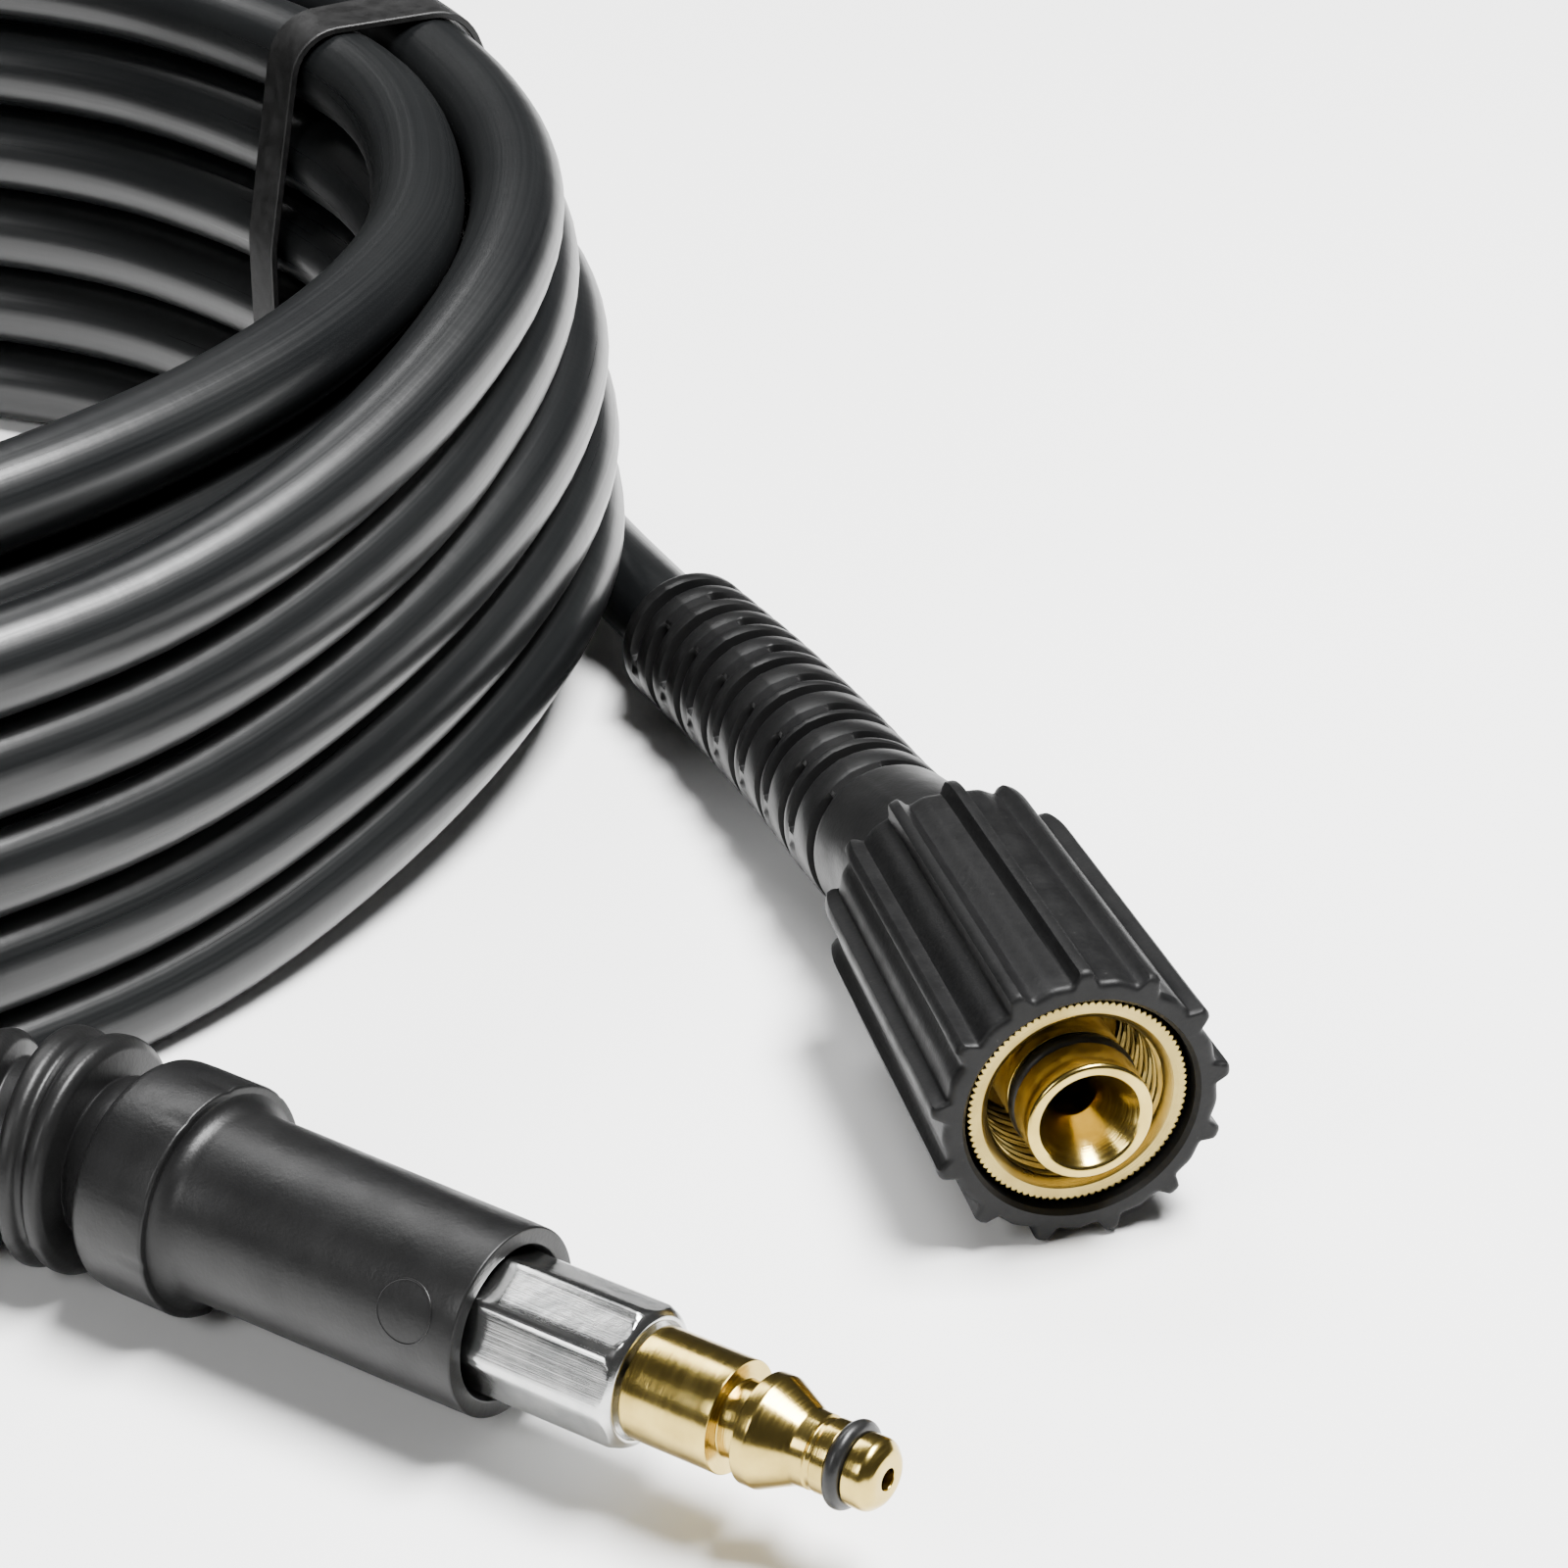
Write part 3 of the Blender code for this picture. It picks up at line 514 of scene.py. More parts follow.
def hose_finish():
    made, tree, shader, place, laid = new_finish("hose_rubber", specular=0.44)
    patches = noise(tree, place, 28.0, 3.0)
    tints = [(0.30, (0.0030, 0.0034, 0.0038)), (0.75, (0.0055, 0.0060, 0.0062))]
    wire(tree, ramp(tree, patches, tints), shader.inputs["Base Color"])
    streaks = noise(tree, laid, 1.0, 4.0, (9.0, 14.0, 1.0))
    wire(tree, spread(tree, streaks, 0.27, 0.37), shader.inputs["Roughness"])
    drawn = noise(tree, laid, 1.0, 2.0, (7.0, 3.0, 1.0))
    ripples = noise(tree, laid, 1.0, 2.0, (430.0, 0.6, 1.0))
    grain = noise(tree, place, 2600.0, 2.0)
    first = bump(tree, ripples, 0.05, 0.0005, bump(tree, drawn, 0.10, 0.0004))
    wire(tree, bump(tree, grain, 0.05, 0.0001, first), shader.inputs["Normal"])
    return made


def moulded_finish():
    made, tree, shader, place, _ = new_finish("moulded_black", specular=0.26)
    patches = noise(tree, place, 90.0, 4.0)
    tints = [(0.3, (0.0035, 0.0035, 0.0037)), (0.8, (0.0065, 0.0065, 0.0064))]
    wire(tree, ramp(tree, patches, tints), shader.inputs["Base Color"])
    smears = noise(tree, place, 160.0, 5.0)
    wire(tree, spread(tree, smears, 0.34, 0.46), shader.inputs["Roughness"])
    grain = noise(tree, place, 2200.0, 3.0)
    waves = noise(tree, place, 260.0, 2.0)
    first = bump(tree, waves, 0.14, 0.0005)
    wire(tree, bump(tree, grain, 0.26, 0.0001, first), shader.inputs["Normal"])
    return made


def grip_finish():
    made, tree, shader, place, _ = new_finish("grip_black", specular=0.18)
    specks = noise(tree, place, 1500.0, 5.0)
    tints = [
        (0.30, (0.0025, 0.0025, 0.0027)),
        (0.70, (0.0045, 0.0045, 0.0045)),
        (0.82, (0.030, 0.030, 0.029)),
    ]
    wire(tree, ramp(tree, specks, tints), shader.inputs["Base Color"])
    smears = noise(tree, place, 240.0, 5.0)
    wire(tree, spread(tree, smears, 0.42, 0.56), shader.inputs["Roughness"])
    grain = noise(tree, place, 1900.0, 4.0)
    scratches = noise(tree, place, 1.0, 3.0, (2600.0, 160.0, 2600.0))
    first = bump(tree, scratches, 0.10, 0.0001)
    wire(tree, bump(tree, grain, 0.30, 0.0001, first), shader.inputs["Normal"])
    return made


def strap_finish():
    made, tree, shader, place, laid = new_finish("strap_black")
    patches = noise(tree, place, 400.0, 4.0)
    tints = [(0.3, (0.004, 0.004, 0.004)), (0.8, (0.009, 0.009, 0.009))]
    wire(tree, ramp(tree, patches, tints), shader.inputs["Base Color"])
    wire(tree, spread(tree, patches, 0.34, 0.50), shader.inputs["Roughness"])
    weave = noise(tree, laid, 1.0, 2.0, (900.0, 40.0, 1.0))
    wire(tree, bump(tree, weave, 0.25, 0.0001), shader.inputs["Normal"])
    return made


def brass_finish(darks, mids, lights, smooth, dull):
    made, tree, shader, place, laid = new_finish("brass", metallic=1.0)
    patches = noise(tree, place, 220.0, 4.0)
    tints = [(0.25, darks), (0.55, mids), (0.85, lights)]
    wire(tree, ramp(tree, patches, tints), shader.inputs["Base Color"])
    rings = noise(tree, laid, 1.0, 3.0, (5200.0, 0.8, 1.0))
    wire(tree, spread(tree, rings, smooth, dull), shader.inputs["Roughness"])
    first = bump(tree, rings, 0.22, 0.00005)
    dents = noise(tree, place, 700.0, 3.0)
    wire(tree, bump(tree, dents, 0.10, 0.0001, first), shader.inputs["Normal"])
    return made


def plated_finish():
    made, tree, shader, place, laid = new_finish("plated_steel", metallic=1.0)
    patches = noise(tree, place, 300.0, 4.0)
    tints = [(0.3, (0.40, 0.41, 0.41)), (0.7, (0.58, 0.58, 0.57))]
    wire(tree, ramp(tree, patches, tints), shader.inputs["Base Color"])
    drawn = noise(tree, laid, 1.0, 4.0, (30.0, 90.0, 1.0))
    wire(tree, spread(tree, drawn, 0.12, 0.22), shader.inputs["Roughness"])
    first = bump(tree, drawn, 0.16, 0.0001)
    dents = noise(tree, place, 420.0, 3.0)
    wire(tree, bump(tree, dents, 0.14, 0.0002, first), shader.inputs["Normal"])
    return made


def seal_finish():
    made, tree, shader, place, _ = new_finish("seal_rubber")
    patches = noise(tree, place, 800.0, 3.0)
    tints = [(0.3, (0.006, 0.006, 0.006)), (0.8, (0.012, 0.012, 0.012))]
    wire(tree, ramp(tree, patches, tints), shader.inputs["Base Color"])
    wire(tree, spread(tree, patches, 0.28, 0.40), shader.inputs["Roughness"])
    wire(tree, bump(tree, noise(tree, place, 3000.0, 2.0), 0.12, 0.0001), shader.inputs["Normal"])
    return made


# The pieces


def add_hose(finish):
    points = hose_route()
    ways = []
    for index in range(len(points)):
        ahead = points[min(index + 1, len(points) - 1)] - points[max(index - 1, 0)]
        ways.append(ahead.normalized())
    angles = 2 * math.pi * np.arange(HOSE_SIDES) / HOSE_SIDES
    radii = []
    travelled = 0.0
    for index, point in enumerate(points):
        travelled += (point - points[index - 1]).length if index else 0.0
        row = np.full(HOSE_SIDES, HOSE_DIAMETER / 2)
        seam = 2.0 + 0.5 * math.sin(travelled * 1.9)
        away = np.abs((angles - seam + math.pi) % (2 * math.pi) - math.pi)
        row += HOSE_RIDGE * np.exp(-((away / 0.13) ** 2))
        row += HOSE_UNEVENNESS * math.sin(travelled * 47.0) * np.cos(angles * 2 + travelled * 9.0)
        radii.append(row)
    rings = swept(points, ways, radii)
    nodes = ("hose_coil", "hose_nut_end", "hose_plug_end")
    piece = add_piece("pressure_hose", [(rings, False)], finish, "hose", nodes)
    return piece


def add_nut(finish):
    """The grip with its rounded ribs, their sloping rear ends and the stepped rear edge."""
    sides = NUT_RIBS * 24
    angles = 2 * math.pi * np.arange(sides) / sides
    spacing = 2 * math.pi / NUT_RIBS
    from_rib = np.abs((angles - math.pi / 2 + spacing / 2) % spacing - spacing / 2)

    def rib_share(radius):
        away = from_rib * radius
        return 1.0 - ease(away, 0.0005, 0.0017)

    def outline(along):
        tip = NUT_FRONT_RADIUS + (NUT_REAR_RADIUS - NUT_FRONT_RADIUS) * along / NUT_LENGTH
        valley = tip - NUT_RIB_HEIGHT + 0.0002 * ease(from_rib / spacing, 0.25, 0.5)
        return valley + (tip - valley) * rib_share(tip)

    rings = []

    def add(stations, radii):
        stations = np.broadcast_to(stations, sides)
        radii = np.broadcast_to(radii, sides)
        rings.append(np.stack([stations, radii * np.cos(angles), radii * np.sin(angles)], 1))

    add(0.0, INSERT_RADIUS + 0.0009)
    add(0.0, outline(0.0) - NUT_BEVEL * 1.4)
    for step in range(6):
        turn = step / 5 * math.pi / 2
        add(NUT_BEVEL * (1 - math.cos(turn)), outline(0.0) - NUT_BEVEL * (1 - math.sin(turn)))
    for along in (0.004, 0.012, 0.020, 0.028, 0.036, 0.042, NUT_REAR_START):
        add(along, outline(along))
    rear_share = rib_share(0.0156)
    ends = NUT_LENGTH - NUT_REAR_STEP * (1.0 - rear_share)
    for step in range(1, 9):
        turn = step / 8
        stations = NUT_REAR_START + (ends - NUT_REAR_START) * turn
        drop = (0.0004 + 0.0011 * rear_share) * (1.0 - math.sqrt(1.0 - turn * turn))
        add(stations, outline(NUT_LENGTH) * turn + outline(NUT_REAR_START) * (1 - turn) - drop)
    inner = np.minimum(outline(NUT_LENGTH) - 0.0022, 0.0129)
    bore, socket = BOOT_FRONT_RADIUS + NUT_RUNNING_GAP, INSERT_RADIUS + NUT_RUNNING_GAP
    add(ends, inner + 0.0003)
    add(ends - 0.0003, inner)
    add(NUT_REAR_BORE_END, NUT_REAR_BORE)
    add(NUT_REAR_BORE_END - 0.0002, bore)
    add(NUT_SHOULDER + 0.0007, bore)
    add(NUT_SHOULDER, bore + 0.0002)
    add(NUT_SHOULDER, socket)
    add(0.0006, socket)
    turn = np.array(nut_frame())
    rings = np.array(rings) @ turn[:3, :3].T + turn[:3, 3]
    return add_piece("ribbed_nut", [(rings, True)], finish, "nut", ("nut_shell",), sharp=32.0)


def add_insert(finish):
    """The brass ring with its knurled edge and turned thread."""
    front, back = INSERT_RECESS, INSERT_RECESS + INSERT_LENGTH
    corners = [
        (front + 0.0006, 0.0108, 0.0),
        (front, 0.0115, 0.0001),
        (front, 0.0126, 0.0),
        (front, INSERT_RADIUS, 0.0003),
        (back, INSERT_RADIUS, 0.0004),
        (back, INSERT_BACK_BORE, 0.0002),
        (back - 0.0030, INSERT_BACK_BORE, 0.0002),
        (back - 0.0030, 0.0100, 0.0002),
    ]
    profile = list(soften(corners, closed=False))
    thread_end = back - 0.0036
    count = 90
    for step in range(count + 1):
        profile.append((thread_end + (front + 0.0010 - thread_end) * step / count, THREAD_RADIUS))

    def radial(stations, angles, radii):
        on_thread = front + 0.0009 < stations[0] < back - 0.0034
        if on_thread and radii[0] < THREAD_RADIUS + 0.00015:
            phase = (stations / THREAD_PITCH + angles / (2 * math.pi)) % 1.0
            wave = np.abs(phase * 2.0 - 1.0)
            fade = ease(stations[0], front + 0.0009, front + 0.0022)
            radii = radii - THREAD_DEPTH * fade * (ease(wave, 0.10, 0.80) - 0.45)
        elif radii[0] > INSERT_RADIUS - 0.0006:
            tooth = 0.5 + 0.5 * np.cos(angles * KNURL_TEETH)
            share = ease(radii[0], INSERT_RADIUS - 0.0006, INSERT_RADIUS - 0.0002)
            radii = radii - KNURL_DEPTH * share * tooth
        return stations, radii

    rings = lathe(profile, nut_frame(), KNURL_TEETH * 3, radial)
    return add_piece("thread_ring", [(rings, True)], finish, "nut", ("thread_insert",), sharp=28.0)


def add_nipple(finish):
    """The turned nipple with its funnel, the seal's groove and the flange that holds the nut."""
    groove_floor = NIPPLE_RADIUS - 0.0014
    corners = [
        (0.0200, NIPPLE_BORE, 0.0),
        (0.0032, NIPPLE_BORE + 0.0001, 0.0002),
        (NIPPLE_FRONT, 0.0061, 0.0005),
        (NIPPLE_FRONT, NIPPLE_RADIUS, 0.0011),
        (0.0022, NIPPLE_RADIUS, 0.0002),
        (0.0022, groove_floor, 0.0001),
        (0.0046, groove_floor, 0.0001),
        (0.0046, NIPPLE_RADIUS, 0.0002),
        (0.0146, NIPPLE_RADIUS, 0.0002),
        (0.0146, 0.0092, 0.0003),
        (0.0171, 0.0092, 0.0003),
        (0.0171, 0.0070, 0.0002),
        (NIPPLE_END, 0.0070, 0.0),
        (NIPPLE_END, NIPPLE_BORE, 0.0),
    ]
    rings = lathe(soften(corners), nut_frame(), 112)
    return add_piece("nipple_turned", [(rings, True)], finish, "hose", ("nipple",), sharp=30.0)


def add_ring(name, node, home, middle, half_width, low, top, finish):
    """A rubber ring with a round section."""
    steps = 2 * math.pi * np.arange(20) / 20
    centre, half = (low + top) / 2, (top - low) / 2
    profile = [
        (middle + half_width * math.cos(step), centre + half * math.sin(step)) for step in steps
    ]
    rings = lathe(profile, home, 72)
    return add_piece(name, [(rings, True)], finish, "hose", (node,), sharp=80.0)


def slot_share(along, own_angles, radius, centre, middle, half_span):
    """How deep in a slot each point of a ring lies, from 0 to 1."""
    half = BOOT_SLOT_WIDTH / 2
    away = np.abs((own_angles - middle + 180.0) % 360.0 - 180.0)
    beyond = np.maximum(np.radians(away - half_span) * radius + half, 0.0)
    distance = np.sqrt((along - centre) ** 2 + beyond**2)
    return 1.0 - ease(distance, half - 0.00016, half + 0.00016)


def boot_stations():
    """Where the bend protector's rings lie: closest together at the slots' edges."""
    stations = list(np.arange(BOOT_START, 0.0685, 0.0025))
    half = BOOT_SLOT_WIDTH / 2
    for centre in BOOT_SLOTS_OVER + BOOT_SLOTS_BESIDE:
        edges = (half + 0.00020, half + 0.00006, half - 0.00006, half - 0.00020, half * 0.45)
        stations += [centre - edge for edge in edges] + [centre] + [centre + edge for edge in edges]
        stations += [centre - 0.0017, centre + 0.0017]
    end = BOOT_BEND_START + BOOT_LENGTH
    stations += [end - 0.0022, end - 0.0012]
    stations = sorted(stations)
    kept = [stations[0]]
    for station in stations[1:]:
        if station - kept[-1] > 0.00004:
            kept.append(station)
    return kept


def add_boot(finish):
    """The slotted bend protector behind the nut."""
    sides = 132
    angles = 2 * math.pi * np.arange(sides) / sides
    own = np.degrees(angles) - 90.0 - BOOT_ROLL
    points, ways, rows = [], [], []

    def add(along, radii):
        points.append(boot_point(along))
        ways.append(boot_way(along))
        rows.append(radii)

    for along in boot_stations():
        bent = max((along - BOOT_BEND_START) / BOOT_LENGTH, 0.0)
        radius = BOOT_FRONT_RADIUS + (BOOT_REAR_RADIUS - BOOT_FRONT_RADIUS) * bent
        row = np.full(sides, radius)
        depth = np.zeros(sides)
        for centre in BOOT_SLOTS_OVER:
            if abs(along - centre) < BOOT_SLOT_REACH:
                for middle in (0.0, 180.0):
                    share = slot_share(along, own, radius, centre, middle, BOOT_SPAN_OVER)
                    depth = np.maximum(depth, share)
                away = np.abs((own - BOOT_BUMP_ANGLE + 180.0) % 360.0 - 180.0)
                away = np.sqrt((np.radians(away) * radius) ** 2 + (along - centre) ** 2)
                row += BOOT_BUMP_HEIGHT * (1.0 - ease(away, 0.0003, 0.0010))
        for centre in BOOT_SLOTS_BESIDE:
            if abs(along - centre) < BOOT_SLOT_REACH:
                for middle in (90.0, -90.0):
                    share = slot_share(along, own, radius, centre, middle, BOOT_SPAN_BESIDE)
                    depth = np.maximum(depth, share)
        nearest = min(abs(along - centre) for centre in BOOT_SLOTS_OVER + BOOT_SLOTS_BESIDE)
        row -= 0.00022 * (1.0 - ease(nearest, 0.0009, 0.0019))
        seam = np.abs((own + 180.0) % 360.0 - 180.0)
        row += 0.00010 * (1.0 - ease(np.radians(seam) * radius, 0.0001, 0.0006))
        add(along, row - BOOT_SLOT_DEPTH * depth)
    end = BOOT_BEND_START + BOOT_LENGTH
    for step in range(1, 6):
        turn = step / 5 * math.pi / 2
        radius = BOOT_REAR_RADIUS - 0.0010 * (1 - math.cos(turn))
        add(end - 0.0010 + 0.0010 * math.sin(turn), np.full(sides, radius))
    add(end, np.full(sides, 0.0072))
    add(end - 0.0003, np.full(sides, 0.0068))
    add(end - 0.0040, np.full(sides, 0.0066))
    add(end - 0.0042, np.full(sides, 0.0064))
    rings = swept(points, ways, rows)
    nodes = ("bend_protector_nut_end",)
    return add_piece("slotted_bend_protector", [(rings, False)], finish, "hose", nodes, sharp=38.0)


def add_sleeve(finish):
    """The smooth sleeve and collar, with the moulder's ring mark and a few nicks."""
    step = -SLEEVE_LENGTH
    rear = step - COLLAR_LENGTH
    corners = [
        (-0.0098, 0.0030, 0.0),
        (-0.0098, 0.0085, 0.0),
        (-0.0012, 0.0085, 0.0002),
        (0.0, 0.0088, 0.0002),
        (0.0, SLEEVE_FRONT_RADIUS, 0.0003),
        (-0.0022, SLEEVE_FRONT_RADIUS + 0.00005, 0.0),
        (-0.0300, SLEEVE_REAR_RADIUS - 0.00005, 0.0),
        (step + 0.0024, SLEEVE_REAR_RADIUS, 0.0),
        (step + 0.0009, SLEEVE_REAR_RADIUS + 0.00035, 0.0),
        (step + 0.0002, SLEEVE_REAR_RADIUS + 0.0011, 0.0),
        (step, SLEEVE_REAR_RADIUS + 0.0016, 0.0001),
        (step, COLLAR_RADIUS, 0.0005),
        (step - 0.0040, COLLAR_RADIUS, 0.0),
        (step - 0.0070, COLLAR_RADIUS, 0.0),
        (rear, COLLAR_RADIUS - 0.0001, 0.0013),
        (rear, 0.0030, 0.0),
    ]

    def radial(stations, angles, radii):
        if radii[0] > 0.0129 and stations[0] > step - 0.0020:
            dents = np.maximum(np.sin(angles * 7.0 + 1.0) * np.sin(angles * 17.0), 0.55) - 0.55
            radii = radii - 0.0006 * dents
        return stations, radii

    rings = lathe(soften(corners), plug_frame(), 128, radial)
    shells = [(rings, True), (ring_mark(), True)]
    return add_piece("smooth_sleeve", shells, finish, "hose", ("plug_sleeve",), sharp=34.0)


def ring_mark():
    """A thin raised ring laid on the sleeve."""
    rings = []
    steps = 2 * math.pi * np.arange(72) / 72
    turn = np.array(plug_frame())
    for step in steps:
        ring = []
        for part in range(6):
            lean = 2 * math.pi * part / 6
            out = 0.00008 * math.sin(lean)
            across = MARK_RADIUS + 0.00012 * math.cos(lean)
            along = MARK_PLACE + across * math.cos(step)
            around = math.radians(MARK_ANGLE) + across * math.sin(step) / SLEEVE_FRONT_RADIUS
            radius = SLEEVE_FRONT_RADIUS + 0.00010 + out
            ring.append((along, -radius * math.cos(around), radius * math.sin(around)))
        rings.append(ring)
    return np.array(rings) @ turn[:3, :3].T + turn[:3, 3]


def add_bellows(finish):
    """The bend protector behind the collar, with its doubled ribs."""
    corners = [(0.0003, 0.0068, 0.0), (0.0003, 0.0100, 0.0003), (0.0048, 0.0098, 0.0)]
    start = 0.0055
    for rib in range(3):
        top = 0.0139 - 0.0013 * rib
        end = start + 0.0088
        corners += [
            (start, BELLOWS_VALLEY, 0.0004),
            (start + 0.0003, top - 0.0012, 0.0003),
            (start + 0.0012, top, 0.0007),
            (start + 0.0030, top - 0.0001, 0.0006),
            (start + 0.0039, top - 0.0011, 0.0004),
            (end - 0.0039, top - 0.0011, 0.0004),
            (end - 0.0030, top - 0.0001, 0.0006),
            (end - 0.0012, top, 0.0007),
            (end - 0.0003, top - 0.0012, 0.0003),
            (end, BELLOWS_VALLEY, 0.0004),
        ]
        start = end + 0.0034
    corners += [
        (start, 0.0092, 0.0),
        (BELLOWS_LENGTH, 0.0085, 0.0006),
        (BELLOWS_LENGTH, 0.0068, 0.0002),
        (BELLOWS_LENGTH - 0.0040, 0.0065, 0.0),
    ]
    sides = 112
    angles = 2 * math.pi * np.arange(sides) / sides
    points, ways, rows = [], [], []
    for distance, radius in soften(corners, closed=False):
        place, way = plug_bend(distance)
        row = np.full(sides, radius)
        seam = np.abs((angles - 0.35 + math.pi / 2) % math.pi - math.pi / 2)
        row += 0.00014 * (1.0 - ease(seam * radius, 0.0002, 0.0007))
        points.append(place)
        ways.append(way)
        rows.append(row)
    rings = swept(points, ways, rows)
    nodes = ("bend_protector_plug_end",)
    return add_piece("ribbed_bend_protector", [(rings, False)], finish, "hose", nodes, sharp=38.0)


def add_ferrule(finish):
    """The eight-sided ferrule with soft edges and a turned front end."""
    sides = 8 * 16
    half = FERRULE_ACROSS_FLATS / 2
    corner = half / math.cos(math.pi / 8)
    corners = [
        (-FERRULE_INSIDE_SLEEVE, 0.0030, 0.0),
        (-FERRULE_INSIDE_SLEEVE, corner, 0.0004),
        (FERRULE_STANDS_OUT - 0.0015, corner, 0.0),
        (FERRULE_STANDS_OUT - 0.0006, half + 0.00005, 0.0003),
        (FERRULE_STANDS_OUT, half - 0.0006, 0.0004),
        (FERRULE_STANDS_OUT, 0.0066, 0.0002),
        (FERRULE_STANDS_OUT - 0.0012, 0.0064, 0.0),
        (FERRULE_STANDS_OUT - 0.0012, 0.0030, 0.0),
    ]

    def radial(stations, angles, radii):
        away = (angles + math.pi / 8) % (math.pi / 4) - math.pi / 8
        flat = half / np.cos(away)
        rounded = corner - 0.00012
        limit = np.minimum(flat, rounded)
        return stations, np.minimum(radii, limit)

    home = plug_frame() @ Matrix.Rotation(math.radians(22.5), 4, "X")
    rings = lathe(soften(corners), home, sides, radial)
    nodes = ("crimp_ferrule",)
    return add_piece("eight_sided_ferrule", [(rings, True)], finish, "hose", nodes, sharp=20.0)


def add_plug(finish):
    """The turned plug, and how far along it the seal's groove starts."""
    body = FERRULE_STANDS_OUT + 0.0003
    groove = body + 0.0111
    flange = groove + 0.0030
    cone = flange + 0.0016
    neck = cone + 0.0042
    seal = neck + 0.0042
    tip = seal + 0.0021
    end = tip + 0.0034
    corners = [
        (body, 0.0012, 0.0),
        (body, 0.0063, 0.0003),
        (body + 0.0020, 0.0063, 0.0),
        (groove - 0.0014, 0.0063, 0.0),
        (groove, 0.0063, 0.0002),
        (groove, 0.0043, 0.0002),
        (flange, 0.0043, 0.0002),
        (flange, 0.0062, 0.0002),
        (cone, 0.0062, 0.0002),
        (neck, 0.0042, 0.0002),
        (neck + 0.0016, 0.0041, 0.0),
        (neck + 0.0018, 0.0038, 0.0001),
        (neck + 0.0024, 0.0038, 0.0001),
        (neck + 0.0026, 0.0041, 0.0),
        (seal, 0.0041, 0.0001),
        (seal, 0.0029, 0.0001),
        (tip, 0.0029, 0.0001),
        (tip, 0.0040, 0.0002),
        (end - 0.0012, 0.0040, 0.0006),
        (end, 0.0028, 0.0006),
        (end, 0.0012, 0.0002),
    ]
    rings = lathe(soften(corners, steps=5), plug_frame(), 96)
    piece = add_piece("turned_plug", [(rings, True)], finish, "hose", ("brass_plug",), sharp=30.0)
    return piece, seal


def hull(points):
    """The outline of the smallest convex shape round some flat points."""
    points = sorted(points)

    def half(row):
        kept = []
        for point in row:
            while len(kept) > 1:
                a, b = kept[-2], kept[-1]
                turn = (b[0] - a[0]) * (point[1] - a[1]) - (b[1] - a[1]) * (point[0] - a[0])
                if turn > 1e-12:
                    break
                kept.pop()
            kept.append(point)
        return kept[:-1]

    return half(points) + half(points[::-1])


def add_strap(finish):
    """The flat band pulled tight round the coil's two columns."""
    inside = -float(inner_slack(STRAP_ANGLE)) - 0.0008
    outside = COLUMN_PITCH + 0.0005
    half = HOSE_DIAMETER / 2
    centres = []
    for level in range(1, INNER_LEVELS + 1):
        apart = float(fan(STRAP_ANGLE, level))
        height = half + STRAP_LIFT + (level - 1) * LEVEL_PITCH
        centres.append((outside + apart, height))
        centres.append((inside + float(inner_fan(STRAP_ANGLE, level)), height))

    def loop(reach):
        steps = 2 * math.pi * np.arange(48) / 48
        round_points = [
            (x + reach * math.cos(step), z + reach * math.sin(step))
            for x, z in centres
            for step in steps
        ]
        outline = np.array(hull(round_points))
        outline = np.vstack([outline, outline[:1]])
        edges = np.linalg.norm(np.diff(outline, axis=0), axis=1)
        lengths = np.concatenate([[0.0], np.cumsum(edges)])
        places = np.linspace(0.0, lengths[-1], 161)[:-1]
        return np.stack([np.interp(places, lengths, outline[:, axis]) for axis in (0, 1)], 1)

    inner, outer = loop(half + 0.0002), loop(half + 0.0002 + STRAP_THICKNESS)
    edge = math.degrees(STRAP_WIDTH / 2 / OVAL_SHORT)
    section = [(-1.0, 0.15), (-1.0, 0.85), (-0.96, 1.0), (-0.5, 1.0), (0.0, 1.0), (0.5, 1.0)]
    section += [(0.96, 1.0), (1.0, 0.85), (1.0, 0.15), (0.96, 0.0), (0.0, 0.0), (-0.96, 0.0)]
    rings = []
    for low, high in zip(inner, outer):
        ring = []
        for across, out in section:
            offset, height = low + (high - low) * out
            place = on_oval(STRAP_ANGLE + edge * across, offset)
            ring.append((place.x, place.y, max(height, 0.0001)))
        rings.append(ring)
    return add_piece("flat_strap", [(rings, True)], finish, "hose", ("strap",), sharp=30.0)


# Stage, lights and camera


def add_floor():
    made, tree, shader, place, _ = new_finish("pale_floor")
    patches = noise(tree, place, 3.0, 3.0)
    tints = [(0.3, (0.94, 0.94, 0.935)), (0.7, (0.97, 0.97, 0.965))]
    wire(tree, ramp(tree, patches, tints), shader.inputs["Base Color"])
    shader.inputs["Roughness"].default_value = 0.65
    mesh = bpy.data.meshes.new("floor")
    signs = ((-1, -1), (1, -1), (1, 1), (-1, 1))
    corners = [(x * FLOOR_REACH, y * FLOOR_REACH, -FLOOR_DROP) for x, y in signs]
    mesh.from_pydata(corners, [], [(0, 1, 2, 3)])
    mesh.materials.append(made)
    floor = bpy.data.objects.new("floor", mesh)
    bpy.context.scene.collection.objects.link(floor)


def add_panel(name, place, aim, width, height, power):
    light = bpy.data.lights.new(name, "AREA")
    light.shape = "RECTANGLE"
    light.size, light.size_y = width, height
    light.energy = power
    made = bpy.data.objects.new(name, light)
    made.location = place
    made.rotation_mode = "QUATERNION"
    made.rotation_quaternion = (Vector(aim) - Vector(place)).to_track_quat("-Z", "Y")
    bpy.context.scene.collection.objects.link(made)


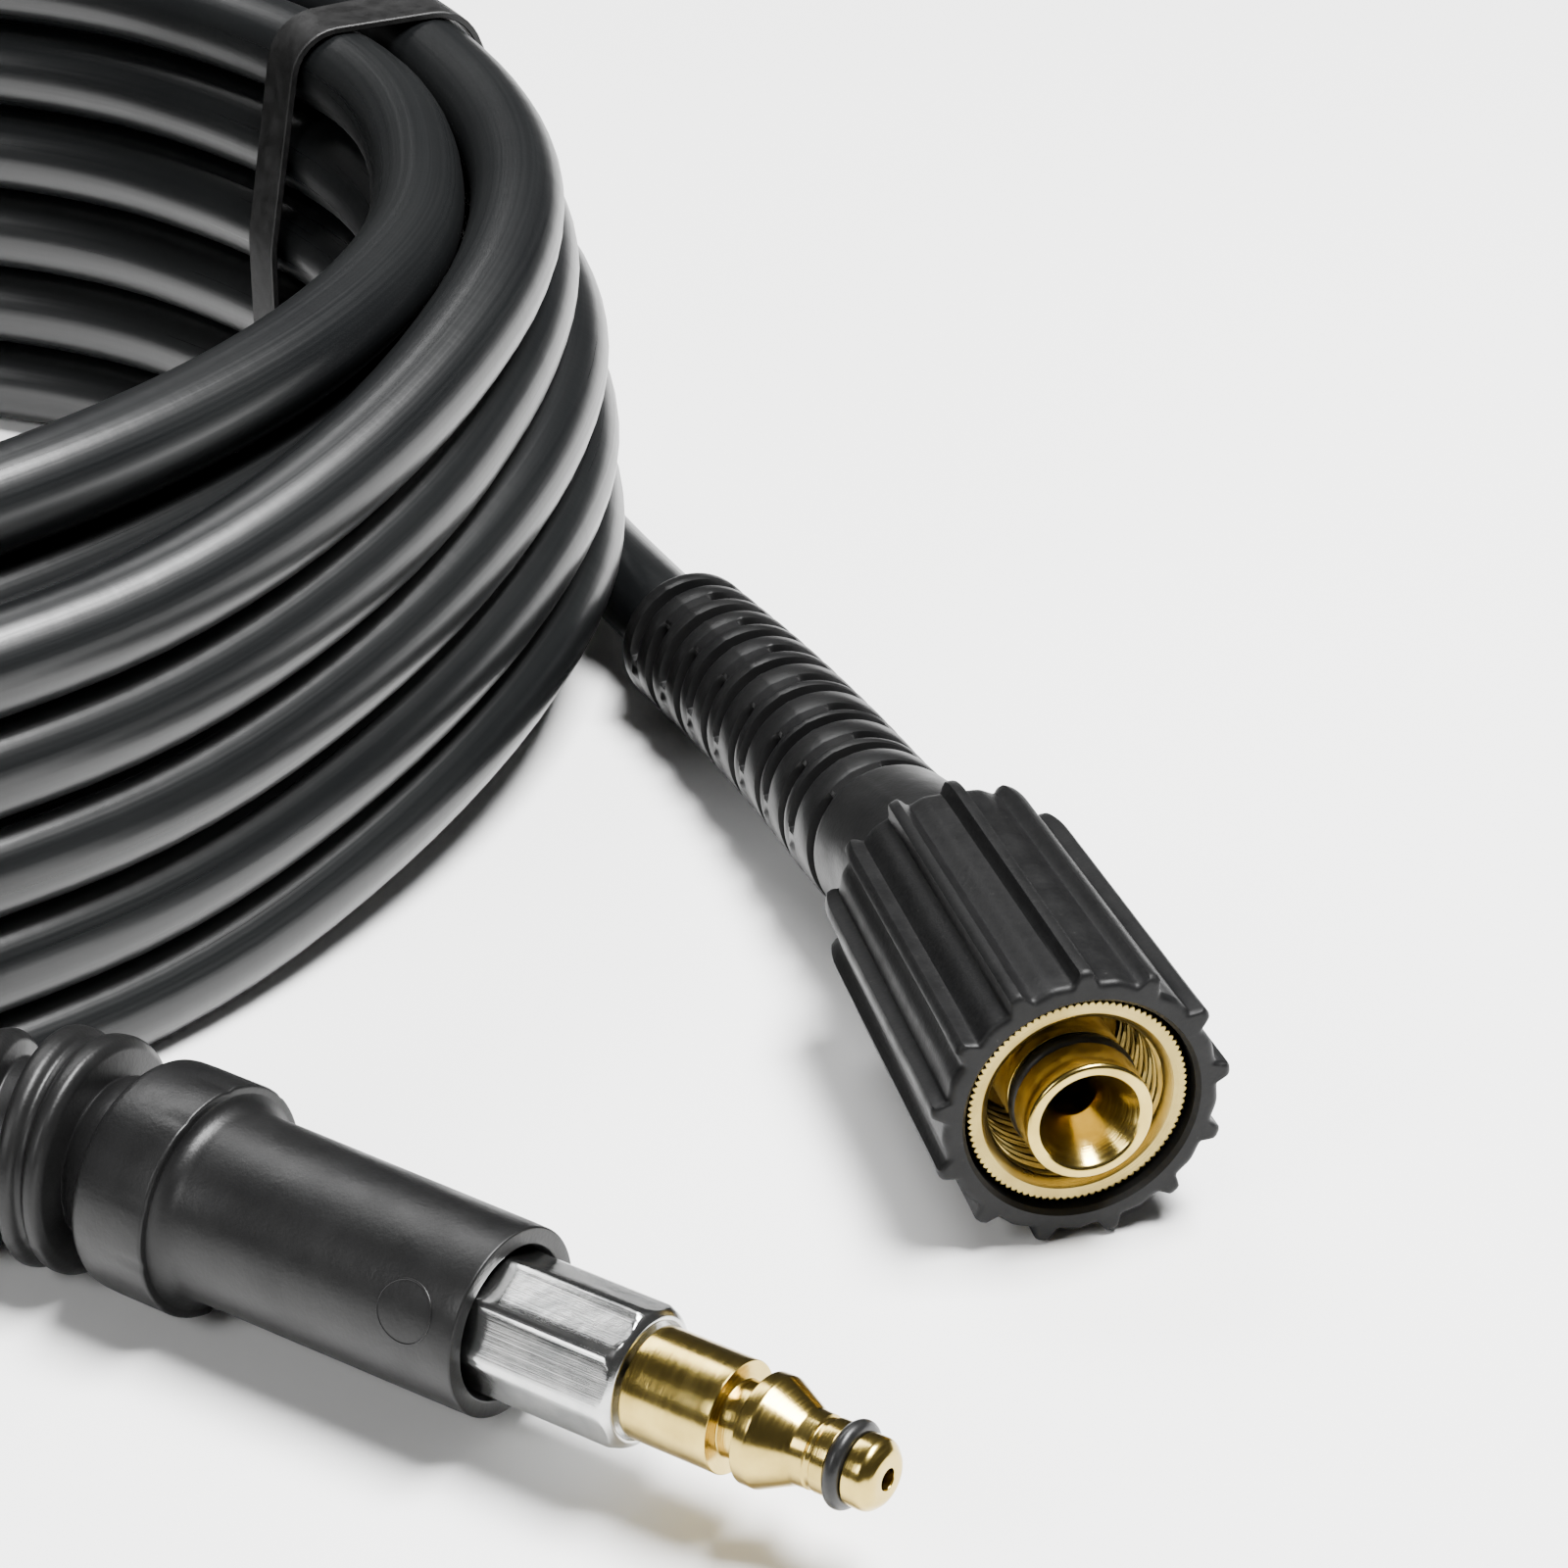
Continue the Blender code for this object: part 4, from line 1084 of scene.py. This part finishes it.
def add_world():
    world = bpy.data.worlds.new("studio")
    world.use_nodes = True
    background = world.node_tree.nodes["Background"]
    background.inputs["Color"].default_value = (1.0, 1.0, 1.0, 1.0)
    background.inputs["Strength"].default_value = WORLD_STRENGTH
    bpy.context.scene.world = world


def add_camera():
    data = bpy.data.cameras.new("camera")
    data.sensor_width = CAMERA_SENSOR
    data.lens = CAMERA_LENS
    data.clip_start, data.clip_end = 0.01, 20.0
    camera = bpy.data.objects.new("camera", data)
    camera.location = CAMERA_PLACE
    camera.rotation_euler = (math.radians(CAMERA_PITCH), 0.0, math.radians(CAMERA_HEADING))
    bpy.context.scene.collection.objects.link(camera)
    bpy.context.scene.camera = camera


def main():
    rubber, moulded, grip, band = hose_finish(), moulded_finish(), grip_finish(), strap_finish()
    plated, seal_rubber = plated_finish(), seal_finish()
    brights = ((0.38, 0.275, 0.07), (0.54, 0.40, 0.11), (0.68, 0.52, 0.16))
    dulls = ((0.24, 0.175, 0.055), (0.34, 0.26, 0.085), (0.44, 0.34, 0.12))
    bright_brass, dull_brass = brass_finish(*brights, 0.13, 0.24), brass_finish(*dulls, 0.24, 0.38)
    add_nut(grip)
    add_insert(dull_brass)
    add_nipple(bright_brass)
    size = (0.0034, 0.00105, 0.0060, 0.00772)
    add_ring("nipple_seal", "seal_nut_end", nut_frame(), *size, seal_rubber)
    add_boot(moulded)
    plug, seal = add_plug(bright_brass)
    size = (seal + 0.00105, 0.00098, 0.0029, 0.0049)
    on_hose = [
        plug,
        add_sleeve(moulded),
        add_bellows(moulded),
        add_ferrule(plated),
        add_ring("plug_seal", "seal_plug_end", plug_frame(), *size, seal_rubber),
        add_strap(band),
    ]
    add_hose(rubber)
    add_floor()
    add_panel("overhead", (0.27, -0.12, 1.10), (-0.15, 0.05, 0.0), 0.68, 0.36, 64.0)
    add_panel("rear", (-0.25, 0.75, 1.05), (-0.15, 0.10, 0.0), 0.70, 0.40, 10.0)
    add_panel("left", (-1.10, -0.55, 0.80), (-0.15, 0.05, 0.0), 0.4, 0.5, 8.0)
    add_world()
    add_camera()


main()
